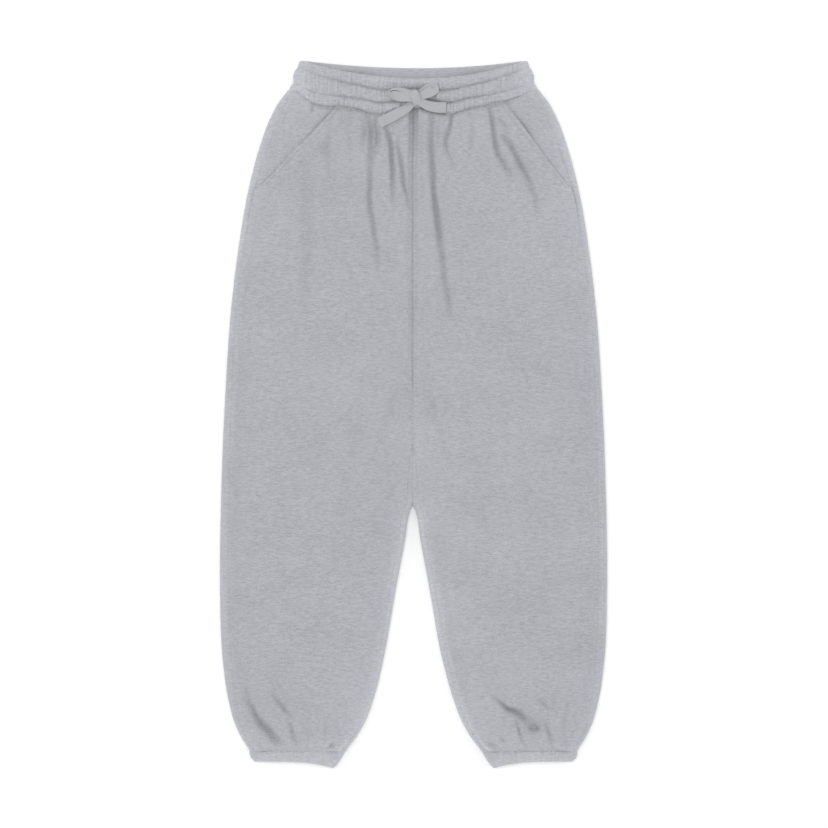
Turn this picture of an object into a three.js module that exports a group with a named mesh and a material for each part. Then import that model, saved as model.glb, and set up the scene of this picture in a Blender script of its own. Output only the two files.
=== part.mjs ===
// Jogger sweatpants of thick fleece, laid flat on a surface with the front up.
// Millimetres. X runs across the garment, Y from the ankles to the waist, and Z up from the surface.
// The origin is on the surface, under the middle of the garment.
import * as THREE from "three";

// Cloth
const CLOTH = 2.4; // thickness of one panel
const SEAM_GAP = 0.3; // between two pieces that are sewn edge to edge
const LAYER_GAP = 0.4; // between the back and the front that lies on it
const FLAT_TOP = 2 * CLOTH + LAYER_GAP; // top of the front where it lies flat

// Levels along the garment
const TOP_Y = 500; // top corners of the waistband
const WAIST_SEAM_Y = 455; // waistband seam at the sides
const POCKET_END_Y = 319; // lower end of the pocket openings
const CROTCH_Y = 20;
const LEGS_PART_Y = -126; // the legs touch above this level
const CUFF_SEAM_Y = -473;
const CUFF_OUTER_Y = -491.5; // lower edge of a cuff at its outer corner
const CUFF_INNER_Y = -500; // and at its inner corner

// Rounded folds of the cloth at the edges
const EDGE_RADIUS = 5.5; // outside radius of the roll along an edge
const EDGE_SOFT = 26; // width over which a roll dies out into the flat
const FOLD_MASK = 14; // folds fade out over this width beside a roll
const UNDERLAP = 14; // how far a pocket facing reaches under the front
const FACING_GAP = 0.7; // between a facing and the front over it
const FACING_FADE = 70; // length below a pocket over which the front comes down again
const FACING_SLOPE = 20; // width over which it comes down beside a facing
const FOLD_ENDS = 0.35; // share of its height that a fold keeps at its ends
const WAIST_LIFT = 3.2; // how far the gathering lifts the front at the waistband
const WAIST_LIFT_LENGTH = 34;
const ANKLE_LIFT = 3.4; // and at the cuffs
const ANKLE_LIFT_LENGTH = 26;
const CREST_RISE = 1.8; // how far the fronts rise beside the centre seam
const CREST_REACH = 220; // height above the crotch over which the inner rolls flatten to that
const FRONT_TURN = 0.25; // how far the fronts turn down into the centre seam, in radians
const FRONT_TURN_REACH = 150; // height above the crotch over which that turn grows to a quarter
const BACK_TURN_REACH = 75; // and over which the backs leave the flat
const DIP_END_Y = 260; // below this level no row follows the waistband seam

// Waistband: a wide casing over elastic, in three puffed channels
const WAIST_DIP = { front: 31, back: 14 }; // how far its seam sinks from the sides to the centre
const TOP_DIP = { front: 22.5, back: 11 }; // the same for its top edge
const BAND_CASING = 5.3; // thickness of the back half, inside face up
const BAND_SLOT = 0.6; // space between the two halves
const BAND_SEAM_GAP = 0.5; // the seam runs over the rolls at the sides
const BAND_TOP = 13; // height of the channels over the surface
const BAND_GROOVE = 9.8; // height of the sewn rows between them
const BAND_RADIUS = 5.7; // roll at its sides
const BAND_GATHERS = 56;
const GATHER_HEIGHT = 0.9;

// Cuffs: a narrow gathered casing on each ankle
const CUFF_TOP = 10;
const CUFF_CASING = 4;
const CUFF_RADIUS = 4.5;
const CUFF_EDGE_BEND = 4.5; // its edge runs level and falls away only near the inner corner
const CUFF_GATHERS = 17;

// Flat cotton drawstring
const TAPE_WIDTH = 14.5;
const TAPE_THICKNESS = 2.2;
const TAPE_CHAMFER = 0.7;
const LOOP_WIDTH = 10.5; // the loops are drawn together beside the knot
const KNOT = { x: 2, y: 443, z: 18.5, halfWidth: 7.6, halfLength: 7.4, halfHeight: 4.6 };

// Half widths of the outline, and how far in from it the side seam lies on the front face
const SIDE = [
  { y: 455, outline: 179, seamIn: 8 },
  { y: 441, outline: 190, seamIn: 12 },
  { y: 418, outline: 202, seamIn: 15 },
  { y: 373, outline: 217.5, seamIn: 13 },
  { y: 316, outline: 232, seamIn: 9.5 },
  { y: 232, outline: 246.5, seamIn: 8.5 },
  { y: 147, outline: 257, seamIn: 7.5 },
  { y: 20, outline: 266, seamIn: 9.5 },
  { y: -126, outline: 272, seamIn: 12 },
  { y: -246, outline: 273.3, seamIn: 12.8 },
  { y: -348, outline: 269, seamIn: 13 },
  { y: -404, outline: 260.6, seamIn: 10.6 },
  { y: -438, outline: 250.7, seamIn: 8.5 },
  { y: -460, outline: 240, seamIn: 7.5 },
  { y: -473, outline: 233, seamIn: 7.5 },
];

// Inner edge of a leg, measured from the centre, and how far in from it the inseam lies
const INSIDE = [
  { y: 20, outline: 0, seamIn: 0 },
  { y: -23, outline: 0, seamIn: 3.1 },
  { y: -79, outline: 0, seamIn: 7.4 },
  { y: -126, outline: 0, seamIn: 10 },
  { y: -134, outline: 3.5, seamIn: 9.8 },
  { y: -178, outline: 11.3, seamIn: 8.8 },
  { y: -246, outline: 24, seamIn: 8 },
  { y: -348, outline: 42.4, seamIn: 7.6 },
  { y: -404, outline: 57.2, seamIn: 7 },
  { y: -438, outline: 70.6, seamIn: 6.8 },
  { y: -460, outline: 84, seamIn: 6.6 },
  { y: -473, outline: 94, seamIn: 6.5 },
];

// Pocket openings, measured from the centre: the left one is cut further in
const POCKET = [
  { y: 455, left: 103, right: 126 },
  { y: 400, left: 150, right: 169 },
  { y: 355, left: 198, right: 198 },
  { y: 319, left: 222, right: 222 },
];

// Side outline of the waistband from its seam to its top edge
const BAND_SIDE = [
  { share: 0, half: 177.5 },
  { share: 0.3, half: 169.5 },
  { share: 0.6, half: 168 },
  { share: 0.85, half: 164.5 },
  { share: 1, half: 165 },
];

// The largest folds of the front, as soft ridges from one end to the other
const FOLDS = [
  { side: -1, x1: 68, y1: 430, x2: 58, y2: 217, width: 9, height: 3.6 },
  { side: -1, x1: 42, y1: 410, x2: 27, y2: 300, width: 7, height: 2.8 },
  { side: -1, x1: 93, y1: 425, x2: 98, y2: 330, width: 9, height: 2.2 },
  { side: -1, x1: 150, y1: 380, x2: 153, y2: 115, width: 15, height: 2 },
  { side: -1, x1: 228, y1: -375, x2: 186, y2: -468, width: 8, height: 4.6 },
  { side: -1, x1: 190, y1: -392, x2: 163, y2: -468, width: 7, height: 3.6 },
  { side: -1, x1: 132, y1: -415, x2: 138, y2: -466, width: 8, height: 3 },
  { side: 1, x1: 35, y1: 428, x2: 34, y2: 270, width: 8, height: 3.8 },
  { side: 1, x1: 36, y1: 280, x2: 60, y2: 130, width: 9, height: 3 },
  { side: 1, x1: 64, y1: 425, x2: 62, y2: 345, width: 8, height: 2.6 },
  { side: 1, x1: 110, y1: 436, x2: 148, y2: 330, width: 9, height: 3 },
  { side: 1, x1: 140, y1: 380, x2: 186, y2: 282, width: 9, height: 2.4 },
  { side: 1, x1: 92, y1: -378, x2: 166, y2: -424, width: 8, height: 4.6 },
  { side: 1, x1: 148, y1: -420, x2: 165, y2: -468, width: 8, height: 3.6 },
  { side: 1, x1: 186, y1: -398, x2: 198, y2: -466, width: 8, height: 3 },
  { side: 1, x1: 150, y1: 20, x2: 168, y2: -190, width: 17, height: 1.6 },
  { side: -1, x1: 120, y1: -20, x2: 150, y2: -220, width: 17, height: 1.6 },
];

const HALF_GAP = SEAM_GAP / 2;
const SIDE_SEAM_GAP = HALF_GAP + 0.08; // taken off each panel, as the seam runs over a slope
const CROTCH_GAP = 0.3; // more is taken off where the inseam turns round the crotch
const CROTCH_GAP_Y = -10; // most at this level
const CROTCH_GAP_REACH = 50;
const QUARTER_TURN = Math.PI / 2;
const MID_RADIUS = EDGE_RADIUS - CLOTH / 2; // radius of the middle of the wall in a roll

// How finely the cloth is divided: the longest steps of a path, and the points across a panel
const RUN_STEP = 2;
const ARC_STEP = 0.12;
const FRONT_ZONES = { side: 21, inner: 22, steps: [3, 8, 4] };
const BACK_ZONES = { beyondInner: 5, beyondOuter: 4, steps: [5, 3, 6] };
const FACING_ZONES = { share: 0.3, steps: [1, 2, 1] };
const CLOSE_ROWS_Y = -23; // rows lie closer from the crotch down to here
const ANKLE_ROWS_Y = -348; // and from here down to the cuffs
const RING_STEPS = { under: 6, side: 4, inside: 16 };
// Share of the way round a ring that the top, or the underside, takes up
const RING_HALF = 0.45;
const RING_SIDE = 0.5 - RING_HALF;
const LOOP_STEPS = 11;
const TAIL_STEPS = 5;

function mix(a, b, t) {
  return a + (b - a) * t;
}

// Eases from 0 to 1
function ease(t) {
  const inside = Math.min(1, Math.max(0, t));
  return inside * inside * (3 - 2 * inside);
}

// Smooth curve through one column of a table, read at a level of its key column
function read(table, key, column, level) {
  const falling = table[0][key] > table[table.length - 1][key];
  const isPast = (row) => (falling ? row[key] <= level : row[key] >= level);
  const found = table.findIndex(isPast);
  const next = found < 0 ? table.length - 1 : Math.max(1, found);
  const [a, b] = [table[next - 1], table[next]];
  const before = table[Math.max(0, next - 2)];
  const after = table[Math.min(table.length - 1, next + 1)];
  const t = Math.min(1, Math.max(0, (level - a[key]) / (b[key] - a[key])));
  const span = b[key] - a[key];
  const slopeA = ((b[column] - before[column]) / (b[key] - before[key])) * span;
  const slopeB = ((after[column] - a[column]) / (after[key] - a[key])) * span;
  const t2 = t * t;
  const t3 = t2 * t;
  return (
    (2 * t3 - 3 * t2 + 1) * a[column] +
    (t3 - 2 * t2 + t) * slopeA +
    (3 * t2 - 2 * t3) * b[column] +
    (t3 - t2) * slopeB
  );
}

// How far a row of the panels sinks towards the centre, where it follows the waistband seam
function seamDip(dip, across, outline, y) {
  const follow = ease((y - DIP_END_Y) / (WAIST_SEAM_Y - DIP_END_Y));
  return dip * follow * (1 - (across / outline) ** 2);
}

// How far a point of a roll at the side belongs to the front: 0 underneath and 1 on top
function frontShare(z) {
  return ease((z - CLOTH / 2) / (2 * EDGE_RADIUS - CLOTH));
}

// What the cloth does at one level of one side: side is -1 on the left and 1 on the right
function stationAt(side, y) {
  const outline = read(SIDE, "y", "outline", y);
  const sideSeam = outline - read(SIDE, "y", "seamIn", y);
  const inside = HALF_GAP + Math.max(0, read(INSIDE, "y", "outline", Math.min(y, CROTCH_Y)));
  const inseamIn = Math.max(0, read(INSIDE, "y", "seamIn", Math.min(y, CROTCH_Y)));
  const isBody = y >= CROTCH_Y;
  const rise = y - CROTCH_Y;
  // Angle from the innermost point of the inner roll up to the inseam
  const climb = Math.acos(1 - Math.min(1, inseamIn / EDGE_RADIUS));
  const frontTurn = isBody
    ? mix(QUARTER_TURN, FRONT_TURN, ease(rise / FRONT_TURN_REACH))
    : QUARTER_TURN - climb;
  const backTurn = isBody
    ? QUARTER_TURN * (1 - ease(rise / BACK_TURN_REACH))
    : QUARTER_TURN + climb;
  const flattened = isBody ? ease(rise / CREST_REACH) : 0;
  const pocket = read(POCKET, "y", side < 0 ? "left" : "right", y);
  const hasPocket = y > POCKET_END_Y;
  return {
    side,
    y,
    outline,
    sideSeam,
    inside,
    frontTurn,
    backTurn,
    frontCrest: inside + EDGE_RADIUS * Math.sin(isBody ? frontTurn : QUARTER_TURN),
    backCrest: inside + EDGE_RADIUS * Math.sin(isBody ? backTurn : QUARTER_TURN),
    crestTop: mix(2 * EDGE_RADIUS, FLAT_TOP + CREST_RISE, flattened),
    inseam: inside + inseamIn,
    isBody,
    hasPocket,
    frontEdge: hasPocket ? Math.min(pocket, sideSeam) : sideSeam,
  };
}

// Distance from a ridge's line, faded towards the ridge's ends
function ridge(fold, across, y) {
  const dx = fold.x2 - fold.x1;
  const dy = fold.y2 - fold.y1;
  const along = ((across - fold.x1) * dx + (y - fold.y1) * dy) / (dx * dx + dy * dy);
  const t = Math.min(1, Math.max(0, along));
  const gap = Math.hypot(across - fold.x1 - t * dx, y - fold.y1 - t * dy);
  const fade = mix(FOLD_ENDS, 1, Math.sin(Math.PI * mix(0.1, 0.9, t)));
  return fold.height * fade * Math.exp(-((gap / fold.width) ** 2));
}

function foldHeight(side, across, y) {
  const own = FOLDS.filter((fold) => fold.side === side);
  const ridges = own.reduce((sum, fold) => sum + ridge(fold, across, y), 0);
  const waist = WAIST_LIFT * Math.exp(-(WAIST_SEAM_Y - y) / WAIST_LIFT_LENGTH);
  const ankle = ANKLE_LIFT * Math.exp((CUFF_SEAM_Y - y) / ANKLE_LIFT_LENGTH);
  return ridges + waist + ankle;
}

// Top of the front, or of a pocket facing, at a distance from the centre
function topHeight(station, across) {
  const fromOuter = station.outline - EDGE_RADIUS - across;
  const fromInner = across - station.frontCrest;
  const outerRoll = (2 * EDGE_RADIUS - FLAT_TOP) * (1 - ease(fromOuter / EDGE_SOFT));
  const innerRoll = (station.crestTop - FLAT_TOP) * (1 - ease(fromInner / EDGE_SOFT));
  const mask = ease(fromOuter / FOLD_MASK) * ease(fromInner / FOLD_MASK);
  return FLAT_TOP + outerRoll + innerRoll + mask * foldHeight(station.side, across, station.y);
}

// The front stands higher where it lies over a pocket facing
function facingLift(station, across) {
  const beyond = station.frontEdge - across - UNDERLAP - RUN_STEP;
  const ended = ease((POCKET_END_Y - station.y) / FACING_FADE);
  return (CLOTH + FACING_GAP) * (1 - ease(beyond / FACING_SLOPE)) * (1 - ended);
}

// A path is the middle line of the wall across one level, as points { across, z }.
function topRun(station, from, to, lift) {
  const steps = Math.max(2, Math.ceil(Math.abs(to - from) / RUN_STEP));
  return Array.from({ length: steps + 1 }, (_, i) => {
    const across = mix(from, to, i / steps);
    return { across, z: topHeight(station, across) + lift(station, across) - CLOTH / 2 };
  });
}

function arcRun(centre, top, radius, fromAngle, toAngle) {
  const steps = Math.max(1, Math.ceil(Math.abs(toAngle - fromAngle) / ARC_STEP));
  return Array.from({ length: steps + 1 }, (_, i) => {
    const angle = mix(fromAngle, toAngle, i / steps);
    return { across: centre + radius * Math.cos(angle), z: top + radius * Math.sin(angle) };
  });
}

// Lengths along a path up to each of its points
function lengthsOf(path) {
  const lengths = [0];
  for (let i = 1; i < path.length; i += 1) {
    const step = Math.hypot(path[i].across - path[i - 1].across, path[i].z - path[i - 1].z);
    lengths.push(lengths[i - 1] + step);
  }
  return lengths;
}

// The point of a path at a length along it, with the direction that faces out of the garment
function pointAlong(path, lengths, distance) {
  const last = path.length - 1;
  const found = lengths.findIndex((length) => length >= distance);
  const next = found < 0 ? last : Math.max(1, found);
  const before = path[next - 1];
  const after = path[next];
  const t = (distance - lengths[next - 1]) / (lengths[next] - lengths[next - 1] || 1);
  const run = Math.max(1e-9, Math.hypot(after.across - before.across, after.z - before.z));
  return {
    across: mix(before.across, after.across, t),
    z: mix(before.z, after.z, t),
    outX: (after.z - before.z) / run,
    outZ: -(after.across - before.across) / run,
  };
}

// Distances along a path in three zones, each with its own number of steps. The gaps are what
// the seam takes off at the path's start and end.
function spread(total, first, last, counts, gaps) {
  const start = gaps[0];
  const end = total - gaps[1];
  const zones = [
    { from: start, to: start + first, steps: counts[0] },
    { from: start + first, to: end - last, steps: counts[1] },
    { from: end - last, to: end, steps: counts[2] },
  ];
  const distances = [start];
  for (const zone of zones) {
    for (let i = 1; i <= zone.steps; i += 1) distances.push(mix(zone.from, zone.to, i / zone.steps));
  }
  return distances;
}

// One level of a panel: its outer and inner points
function levelOf(station, path, distances) {
  const lengths = lengthsOf(path);
  const level = { outer: [], inner: [] };
  for (const distance of distances(lengths[lengths.length - 1])) {
    const p = pointAlong(path, lengths, distance);
    const share = station.isBackPanel ? frontShare(p.z) : 1;
    const dip = mix(WAIST_DIP.back, WAIST_DIP.front, share);
    const y = station.y - seamDip(dip, p.across, station.outline, station.y);
    for (const [name, sign] of [["outer", 1], ["inner", -1]]) {
      const across = p.across + (sign * p.outX * CLOTH) / 2;
      const z = p.z + (sign * p.outZ * CLOTH) / 2;
      level[name].push(new THREE.Vector3(station.side * across, y, z));
    }
  }
  return level;
}

function inseamGap(y) {
  return HALF_GAP + CROTCH_GAP * Math.exp(-(((y - CROTCH_GAP_Y) / CROTCH_GAP_REACH) ** 2));
}

function frontLevel(station) {
  const inner = station.isBody ? station.frontCrest : Math.max(station.frontCrest, station.inseam);
  const path = topRun(station, station.frontEdge, inner, facingLift);
  const hasArc = station.isBody || station.inseam < station.frontCrest;
  let arcLength = 0;
  if (hasArc) {
    const centreZ = station.crestTop - EDGE_RADIUS;
    const stop = QUARTER_TURN + station.frontTurn;
    const arc = arcRun(station.frontCrest, centreZ, MID_RADIUS, QUARTER_TURN, stop);
    path.push(...arc.slice(1));
    arcLength = MID_RADIUS * station.frontTurn;
  }
  const gaps = [SIDE_SEAM_GAP, inseamGap(station.y)];
  const { side, inner: innerZone, steps } = FRONT_ZONES;
  const distances = (total) => spread(total, side, innerZone + arcLength, steps, gaps);
  return levelOf(station, path, distances);
}

function backLevel(station) {
  const start = Math.PI * 1.5 - station.backTurn;
  const centreZ = EDGE_RADIUS;
  const innerArc = arcRun(station.backCrest, centreZ, MID_RADIUS, start, Math.PI * 1.5);
  const onTop = !station.isBody && station.inseam > station.backCrest;
  const lead = onTop ? topRun(station, station.inseam, station.backCrest, () => 0) : [];
  const outerCrest = station.outline - EDGE_RADIUS;
  const outerArc = arcRun(outerCrest, centreZ, MID_RADIUS, -QUARTER_TURN, QUARTER_TURN);
  const tail = topRun(station, outerCrest, station.sideSeam, () => 0);
  const path = [...lead, ...innerArc.slice(onTop ? 1 : 0), ...outerArc, ...tail.slice(1)];
  const innerLength = MID_RADIUS * station.backTurn + (onTop ? station.inseam - station.backCrest : 0);
  const outerLength = MID_RADIUS * Math.PI + outerCrest - station.sideSeam;
  const gaps = [inseamGap(station.y), SIDE_SEAM_GAP];
  const first = innerLength + BACK_ZONES.beyondInner;
  const last = outerLength + BACK_ZONES.beyondOuter;
  const distances = (total) => spread(total, first, last, BACK_ZONES.steps, gaps);
  return levelOf({ ...station, isBackPanel: true }, path, distances);
}

function facingLevel(station) {
  const path = topRun(station, station.sideSeam, station.frontEdge - UNDERLAP, () => 0);
  const gaps = [SIDE_SEAM_GAP, 0];
  const { share, steps } = FACING_ZONES;
  return levelOf(station, path, (total) => spread(total, total * share, total * share, steps, gaps));
}

// Adds the triangles between two rows of points that run side by side. The keys, from 0 to 1,
// say which points lie beside each other.
function zip(triangles, edge, other, edgeKeys, otherKeys) {
  const key = (keys, row, index) => (keys ? keys[index] : index / (row.length - 1));
  let i = 0;
  let k = 0;
  while (i < edge.length - 1 || k < other.length - 1) {
    const nextEdge = key(edgeKeys, edge, i + 1);
    const nextOther = key(otherKeys, other, k + 1);
    if (k === other.length - 1 || (i < edge.length - 1 && nextEdge <= nextOther + 1e-9)) {
      triangles.push([edge[i + 1], edge[i], other[k]]);
      i += 1;
    } else {
      triangles.push([other[k], other[k + 1], edge[i]]);
      k += 1;
    }
  }
}

function addGrid(triangles, grid, turned) {
  for (let i = 0; i < grid.length - 1; i += 1) {
    for (let j = 0; j < grid[i].length - 1; j += 1) {
      const [a, b, c, d] = [grid[i][j], grid[i + 1][j], grid[i + 1][j + 1], grid[i][j + 1]];
      triangles.push(turned ? [a, c, b] : [a, b, c]);
      triangles.push(turned ? [a, d, c] : [a, c, d]);
    }
  }
}

function volumeOf(triangles) {
  const cross = new THREE.Vector3();
  return triangles.reduce((sum, [a, b, c]) => sum + a.dot(cross.crossVectors(b, c)) / 6, 0);
}

// A closed wall between an outer and an inner grid of points. A ring's rows close on themselves,
// and its keys say how far round each point lies.
function wallGeometry(outer, inner, ring) {
  const triangles = [];
  addGrid(triangles, outer, false);
  addGrid(triangles, inner, true);
  const last = outer.length - 1;
  const innerLast = inner.length - 1;
  const turn = (row) => [...row].reverse();
  const back = (keys) => turn(keys).map((key) => 1 - key);
  if (ring) {
    zip(triangles, outer[last], inner[innerLast], ring.outer, ring.inner);
    zip(triangles, turn(outer[0]), turn(inner[0]), back(ring.outer), back(ring.inner));
  } else {
    zip(triangles, outer[last], inner[innerLast]);
    zip(triangles, turn(outer[0]), turn(inner[0]));
    const column = (grid, j) => grid.map((row) => row[j < 0 ? row.length - 1 : j]);
    zip(triangles, column(outer, 0), column(inner, 0));
    zip(triangles, turn(column(outer, -1)), turn(column(inner, -1)));
  }
  const isTurned = volumeOf(triangles) < 0;
  const corners = triangles.flatMap(([a, b, c]) => (isTurned ? [a, c, b] : [a, b, c]));
  const geometry = new THREE.BufferGeometry().setFromPoints(corners);
  geometry.computeVertexNormals();
  return geometry;
}

function stretch(from, to, steps) {
  return Array.from({ length: steps }, (_, i) => mix(from, to, i / steps));
}

const LEVELS = [
  ...stretch(WAIST_SEAM_Y, POCKET_END_Y, 10),
  ...stretch(POCKET_END_Y, CROTCH_Y + BACK_TURN_REACH, 6),
  ...stretch(CROTCH_Y + BACK_TURN_REACH, CROTCH_Y, 3),
  ...stretch(CROTCH_Y, CLOSE_ROWS_Y, 4),
  ...stretch(CLOSE_ROWS_Y, LEGS_PART_Y, 3),
  ...stretch(LEGS_PART_Y, ANKLE_ROWS_Y, 5),
  ...stretch(ANKLE_ROWS_Y, CUFF_SEAM_Y, 7),
  CUFF_SEAM_Y,
];

function panelGeometry(side, levels, levelMaker) {
  const made = levels.map((y) => levelMaker(stationAt(side, y)));
  return wallGeometry(made.map((level) => level.outer), made.map((level) => level.inner));
}

// A number from 0 to 1 that looks random but is the same each time
function scatter(n) {
  const wave = Math.sin(n * 12.9898 + 4.1414) * 43758.5453;
  return wave - Math.floor(wave);
}

// A flattened ring of casing. Each row gives the ends of the ring, the height of its puffed top
// and the height of its gathers. Round the ring the points run over the top, down one side, back
// underneath and up the other side.
function ringGeometry({ rows, gathers, radius, casing, slot, place, seed }) {
  const topSteps = gathers * 2;
  const keys = { outer: [], inner: [] };
  const outer = rows.map((row) => {
    const points = [];
    keys.outer = [];
    const add = (x, z, share, key) => {
      points.push(place(x, z, row, share));
      keys.outer.push(key);
    };
    const from = row.left + radius;
    const to = row.right - radius;
    const addSide = (centre, startAngle, key) => {
      for (let j = 1; j < RING_STEPS.side; j += 1) {
        const angle = startAngle - (Math.PI * j) / RING_STEPS.side;
        const share = frontShare(radius + (radius - CLOTH / 2) * Math.sin(angle));
        const z = radius + radius * Math.sin(angle);
        add(centre + radius * Math.cos(angle), z, share, key + (RING_SIDE * j) / RING_STEPS.side);
      }
    };
    for (let j = 0; j <= topSteps; j += 1) {
      const isEnd = j === 0 || j === topSteps;
      // Every second point is a ridge, the others are the valleys between
      const wave = j % 2 === 1 ? mix(0.5, 1.2, scatter(j + seed)) : mix(0, -0.4, scatter(j + seed));
      const height = isEnd ? 2 * radius : row.top + wave * row.gather;
      add(mix(from, to, j / topSteps), height, 1, (RING_HALF * j) / topSteps);
    }
    addSide(to, QUARTER_TURN, RING_HALF);
    for (let j = 0; j <= RING_STEPS.under; j += 1) {
      const t = j / RING_STEPS.under;
      add(mix(to, from, t), 0, 0, 0.5 + RING_HALF * t);
    }
    addSide(from, -QUARTER_TURN, 0.5 + RING_HALF);
    points.push(points[0]);
    keys.outer.push(1);
    return points;
  });
  const inner = [rows[0], rows[rows.length - 1]].map((row) => {
    const points = [];
    keys.inner = [];
    const from = row.left + casing;
    const to = row.right - casing;
    for (let j = 0; j <= RING_STEPS.inside; j += 1) {
      const t = j / RING_STEPS.inside;
      points.push(place(mix(from, to, t), casing + slot, row, 1));
      keys.inner.push(RING_HALF * t);
    }
    for (let j = 0; j <= RING_STEPS.under; j += 1) {
      const t = j / RING_STEPS.under;
      points.push(place(mix(to, from, t), casing, row, 0));
      keys.inner.push(0.5 + RING_HALF * t);
    }
    points.push(points[0]);
    keys.inner.push(1);
    return points;
  });
  return wallGeometry(outer, inner, keys);
}

// Rows of the waistband: share is the way from its seam to its top edge
const BAND_ROWS = [
  { share: 0, top: BAND_GROOVE - 1.6, gather: 0.2 },
  { share: 0.09, top: BAND_TOP - 1.2, gather: 0.8 },
  { share: 0.19, top: BAND_TOP - 0.8, gather: 1 },
  { share: 0.28, top: BAND_GROOVE, gather: 0.2 },
  { share: 0.4, top: BAND_TOP, gather: 1 },
  { share: 0.52, top: BAND_TOP, gather: 1 },
  { share: 0.64, top: BAND_GROOVE, gather: 0.2 },
  { share: 0.76, top: BAND_TOP, gather: 1 },
  { share: 0.9, top: BAND_TOP - 0.5, gather: 1 },
  { share: 1, top: BAND_GROOVE - 1.5, gather: 0.3 },
];

function waistbandGeometry() {
  const seamHalf = SIDE[0].outline;
  const edgeHalf = BAND_SIDE[BAND_SIDE.length - 1].half;
  const place = (x, z, row, onTop) => {
    const square = 1 - (Math.min(1, Math.abs(x) / seamHalf)) ** 2;
    const low = WAIST_SEAM_Y - mix(WAIST_DIP.back, WAIST_DIP.front, onTop) * square;
    const edge = 1 - (Math.min(1, Math.abs(x) / edgeHalf)) ** 2;
    const high = TOP_Y - mix(TOP_DIP.back, TOP_DIP.front, onTop) * edge;
    return new THREE.Vector3(x, mix(low + BAND_SEAM_GAP, high, row.share), z);
  };
  const rows = BAND_ROWS.map((row) => {
    const half = read(BAND_SIDE, "share", "half", row.share);
    return { ...row, gather: row.gather * GATHER_HEIGHT, left: -half, right: half };
  });
  return ringGeometry({
    rows,
    gathers: BAND_GATHERS,
    radius: BAND_RADIUS,
    casing: BAND_CASING,
    slot: BAND_SLOT,
    place,
    seed: 3,
  });
}

// Rows of a cuff, from its seam to its lower edge
const CUFF_ROWS = [
  { share: 0, top: CUFF_TOP - 2.4, gather: 0.2, outer: 232, inner: 94.5 },
  { share: 0.22, top: CUFF_TOP - 0.3, gather: 0.9, outer: 231, inner: 98 },
  { share: 0.6, top: CUFF_TOP, gather: 1, outer: 230, inner: 104 },
  { share: 0.88, top: CUFF_TOP - 0.6, gather: 0.9, outer: 228.5, inner: 109 },
  { share: 1, top: CUFF_TOP - 2.6, gather: 0.2, outer: 226.5, inner: 112 },
];

function cuffGeometry(side) {
  const place = (x, z, row) => {
    const fromOuter = Math.min(1, Math.max(0, (row.outer - Math.abs(x)) / (row.outer - row.inner)));
    const low = mix(CUFF_OUTER_Y, CUFF_INNER_Y, fromOuter ** CUFF_EDGE_BEND);
    return new THREE.Vector3(x, mix(CUFF_SEAM_Y - SEAM_GAP, low, row.share), z);
  };
  const rows = CUFF_ROWS.map((row) => ({
    ...row,
    gather: row.gather * GATHER_HEIGHT,
    left: side < 0 ? -row.outer : row.inner,
    right: side < 0 ? -row.inner : row.outer,
  }));
  return ringGeometry({
    rows,
    gathers: CUFF_GATHERS,
    radius: CUFF_RADIUS,
    casing: CUFF_CASING,
    slot: BAND_SLOT,
    place,
    seed: 11 + side,
  });
}

// The drawstring's tape: a flat section with cut corners, carried along a route
function tapeGeometry(route, width, steps) {
  const halfThick = TAPE_THICKNESS / 2;
  const halfWide = width / 2;
  const cut = TAPE_CHAMFER;
  const section = new THREE.Shape([
    new THREE.Vector2(-halfThick, -halfWide + cut),
    new THREE.Vector2(-halfThick + cut, -halfWide),
    new THREE.Vector2(halfThick - cut, -halfWide),
    new THREE.Vector2(halfThick, -halfWide + cut),
    new THREE.Vector2(halfThick, halfWide - cut),
    new THREE.Vector2(halfThick - cut, halfWide),
    new THREE.Vector2(-halfThick + cut, halfWide),
    new THREE.Vector2(-halfThick, halfWide - cut),
  ]);
  const points = route.map(([x, y, z]) => new THREE.Vector3(x, y, z));
  const extrudePath = new THREE.CatmullRomCurve3(points);
  return new THREE.ExtrudeGeometry(section, { steps, bevelEnabled: false, extrudePath });
}

// Routes of the tape's four stretches, as points x, y, z
const TAIL_LEFT = [
  [-6, 437, 15.7],
  [-22, 427, 15.7],
  [-38, 417, 14],
  [-53, 407, 12.6],
];
const TAIL_RIGHT = [
  [10, 440.5, 15.7],
  [23, 435.5, 15.8],
  [35, 430.5, 15.8],
  [46, 426.5, 15.6],
];
const LOOP_LEFT = [
  [-6.3, 443.5, 18.6],
  [-20, 448.5, 17.6],
  [-31, 453, 16.8],
  [-36, 454.4, 18.4],
  [-31, 453.4, 20.4],
  [-20, 450.5, 21.4],
  [-5.9, 446.5, 22],
];
const LOOP_RIGHT = [
  [10.5, 446, 18.6],
  [20, 452.5, 17.6],
  [30, 459, 16.8],
  [33.5, 461, 18.4],
  [30, 458, 20.4],
  [21, 451.5, 21.4],
  [10.5, 444.5, 22],
];

function knotGeometry() {
  const knot = new THREE.SphereGeometry(1, 14, 8);
  knot.scale(KNOT.halfWidth, KNOT.halfLength, KNOT.halfHeight);
  knot.translate(KNOT.x, KNOT.y, KNOT.z);
  return knot;
}

const FLEECE = new THREE.MeshStandardMaterial({ color: 0xb4b5b9, roughness: 0.95, metalness: 0 });
const CASING = new THREE.MeshStandardMaterial({ color: 0xaeafb4, roughness: 0.95, metalness: 0 });
const TAPE = new THREE.MeshStandardMaterial({ color: 0xbfc0c4, roughness: 0.9, metalness: 0 });

const sweatpants = new THREE.Group();

function addPiece(name, geometry, material) {
  const piece = new THREE.Mesh(geometry, material);
  piece.name = name;
  sweatpants.add(piece);
}

const POCKET_LEVELS = LEVELS.filter((y) => y >= POCKET_END_Y);

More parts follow.
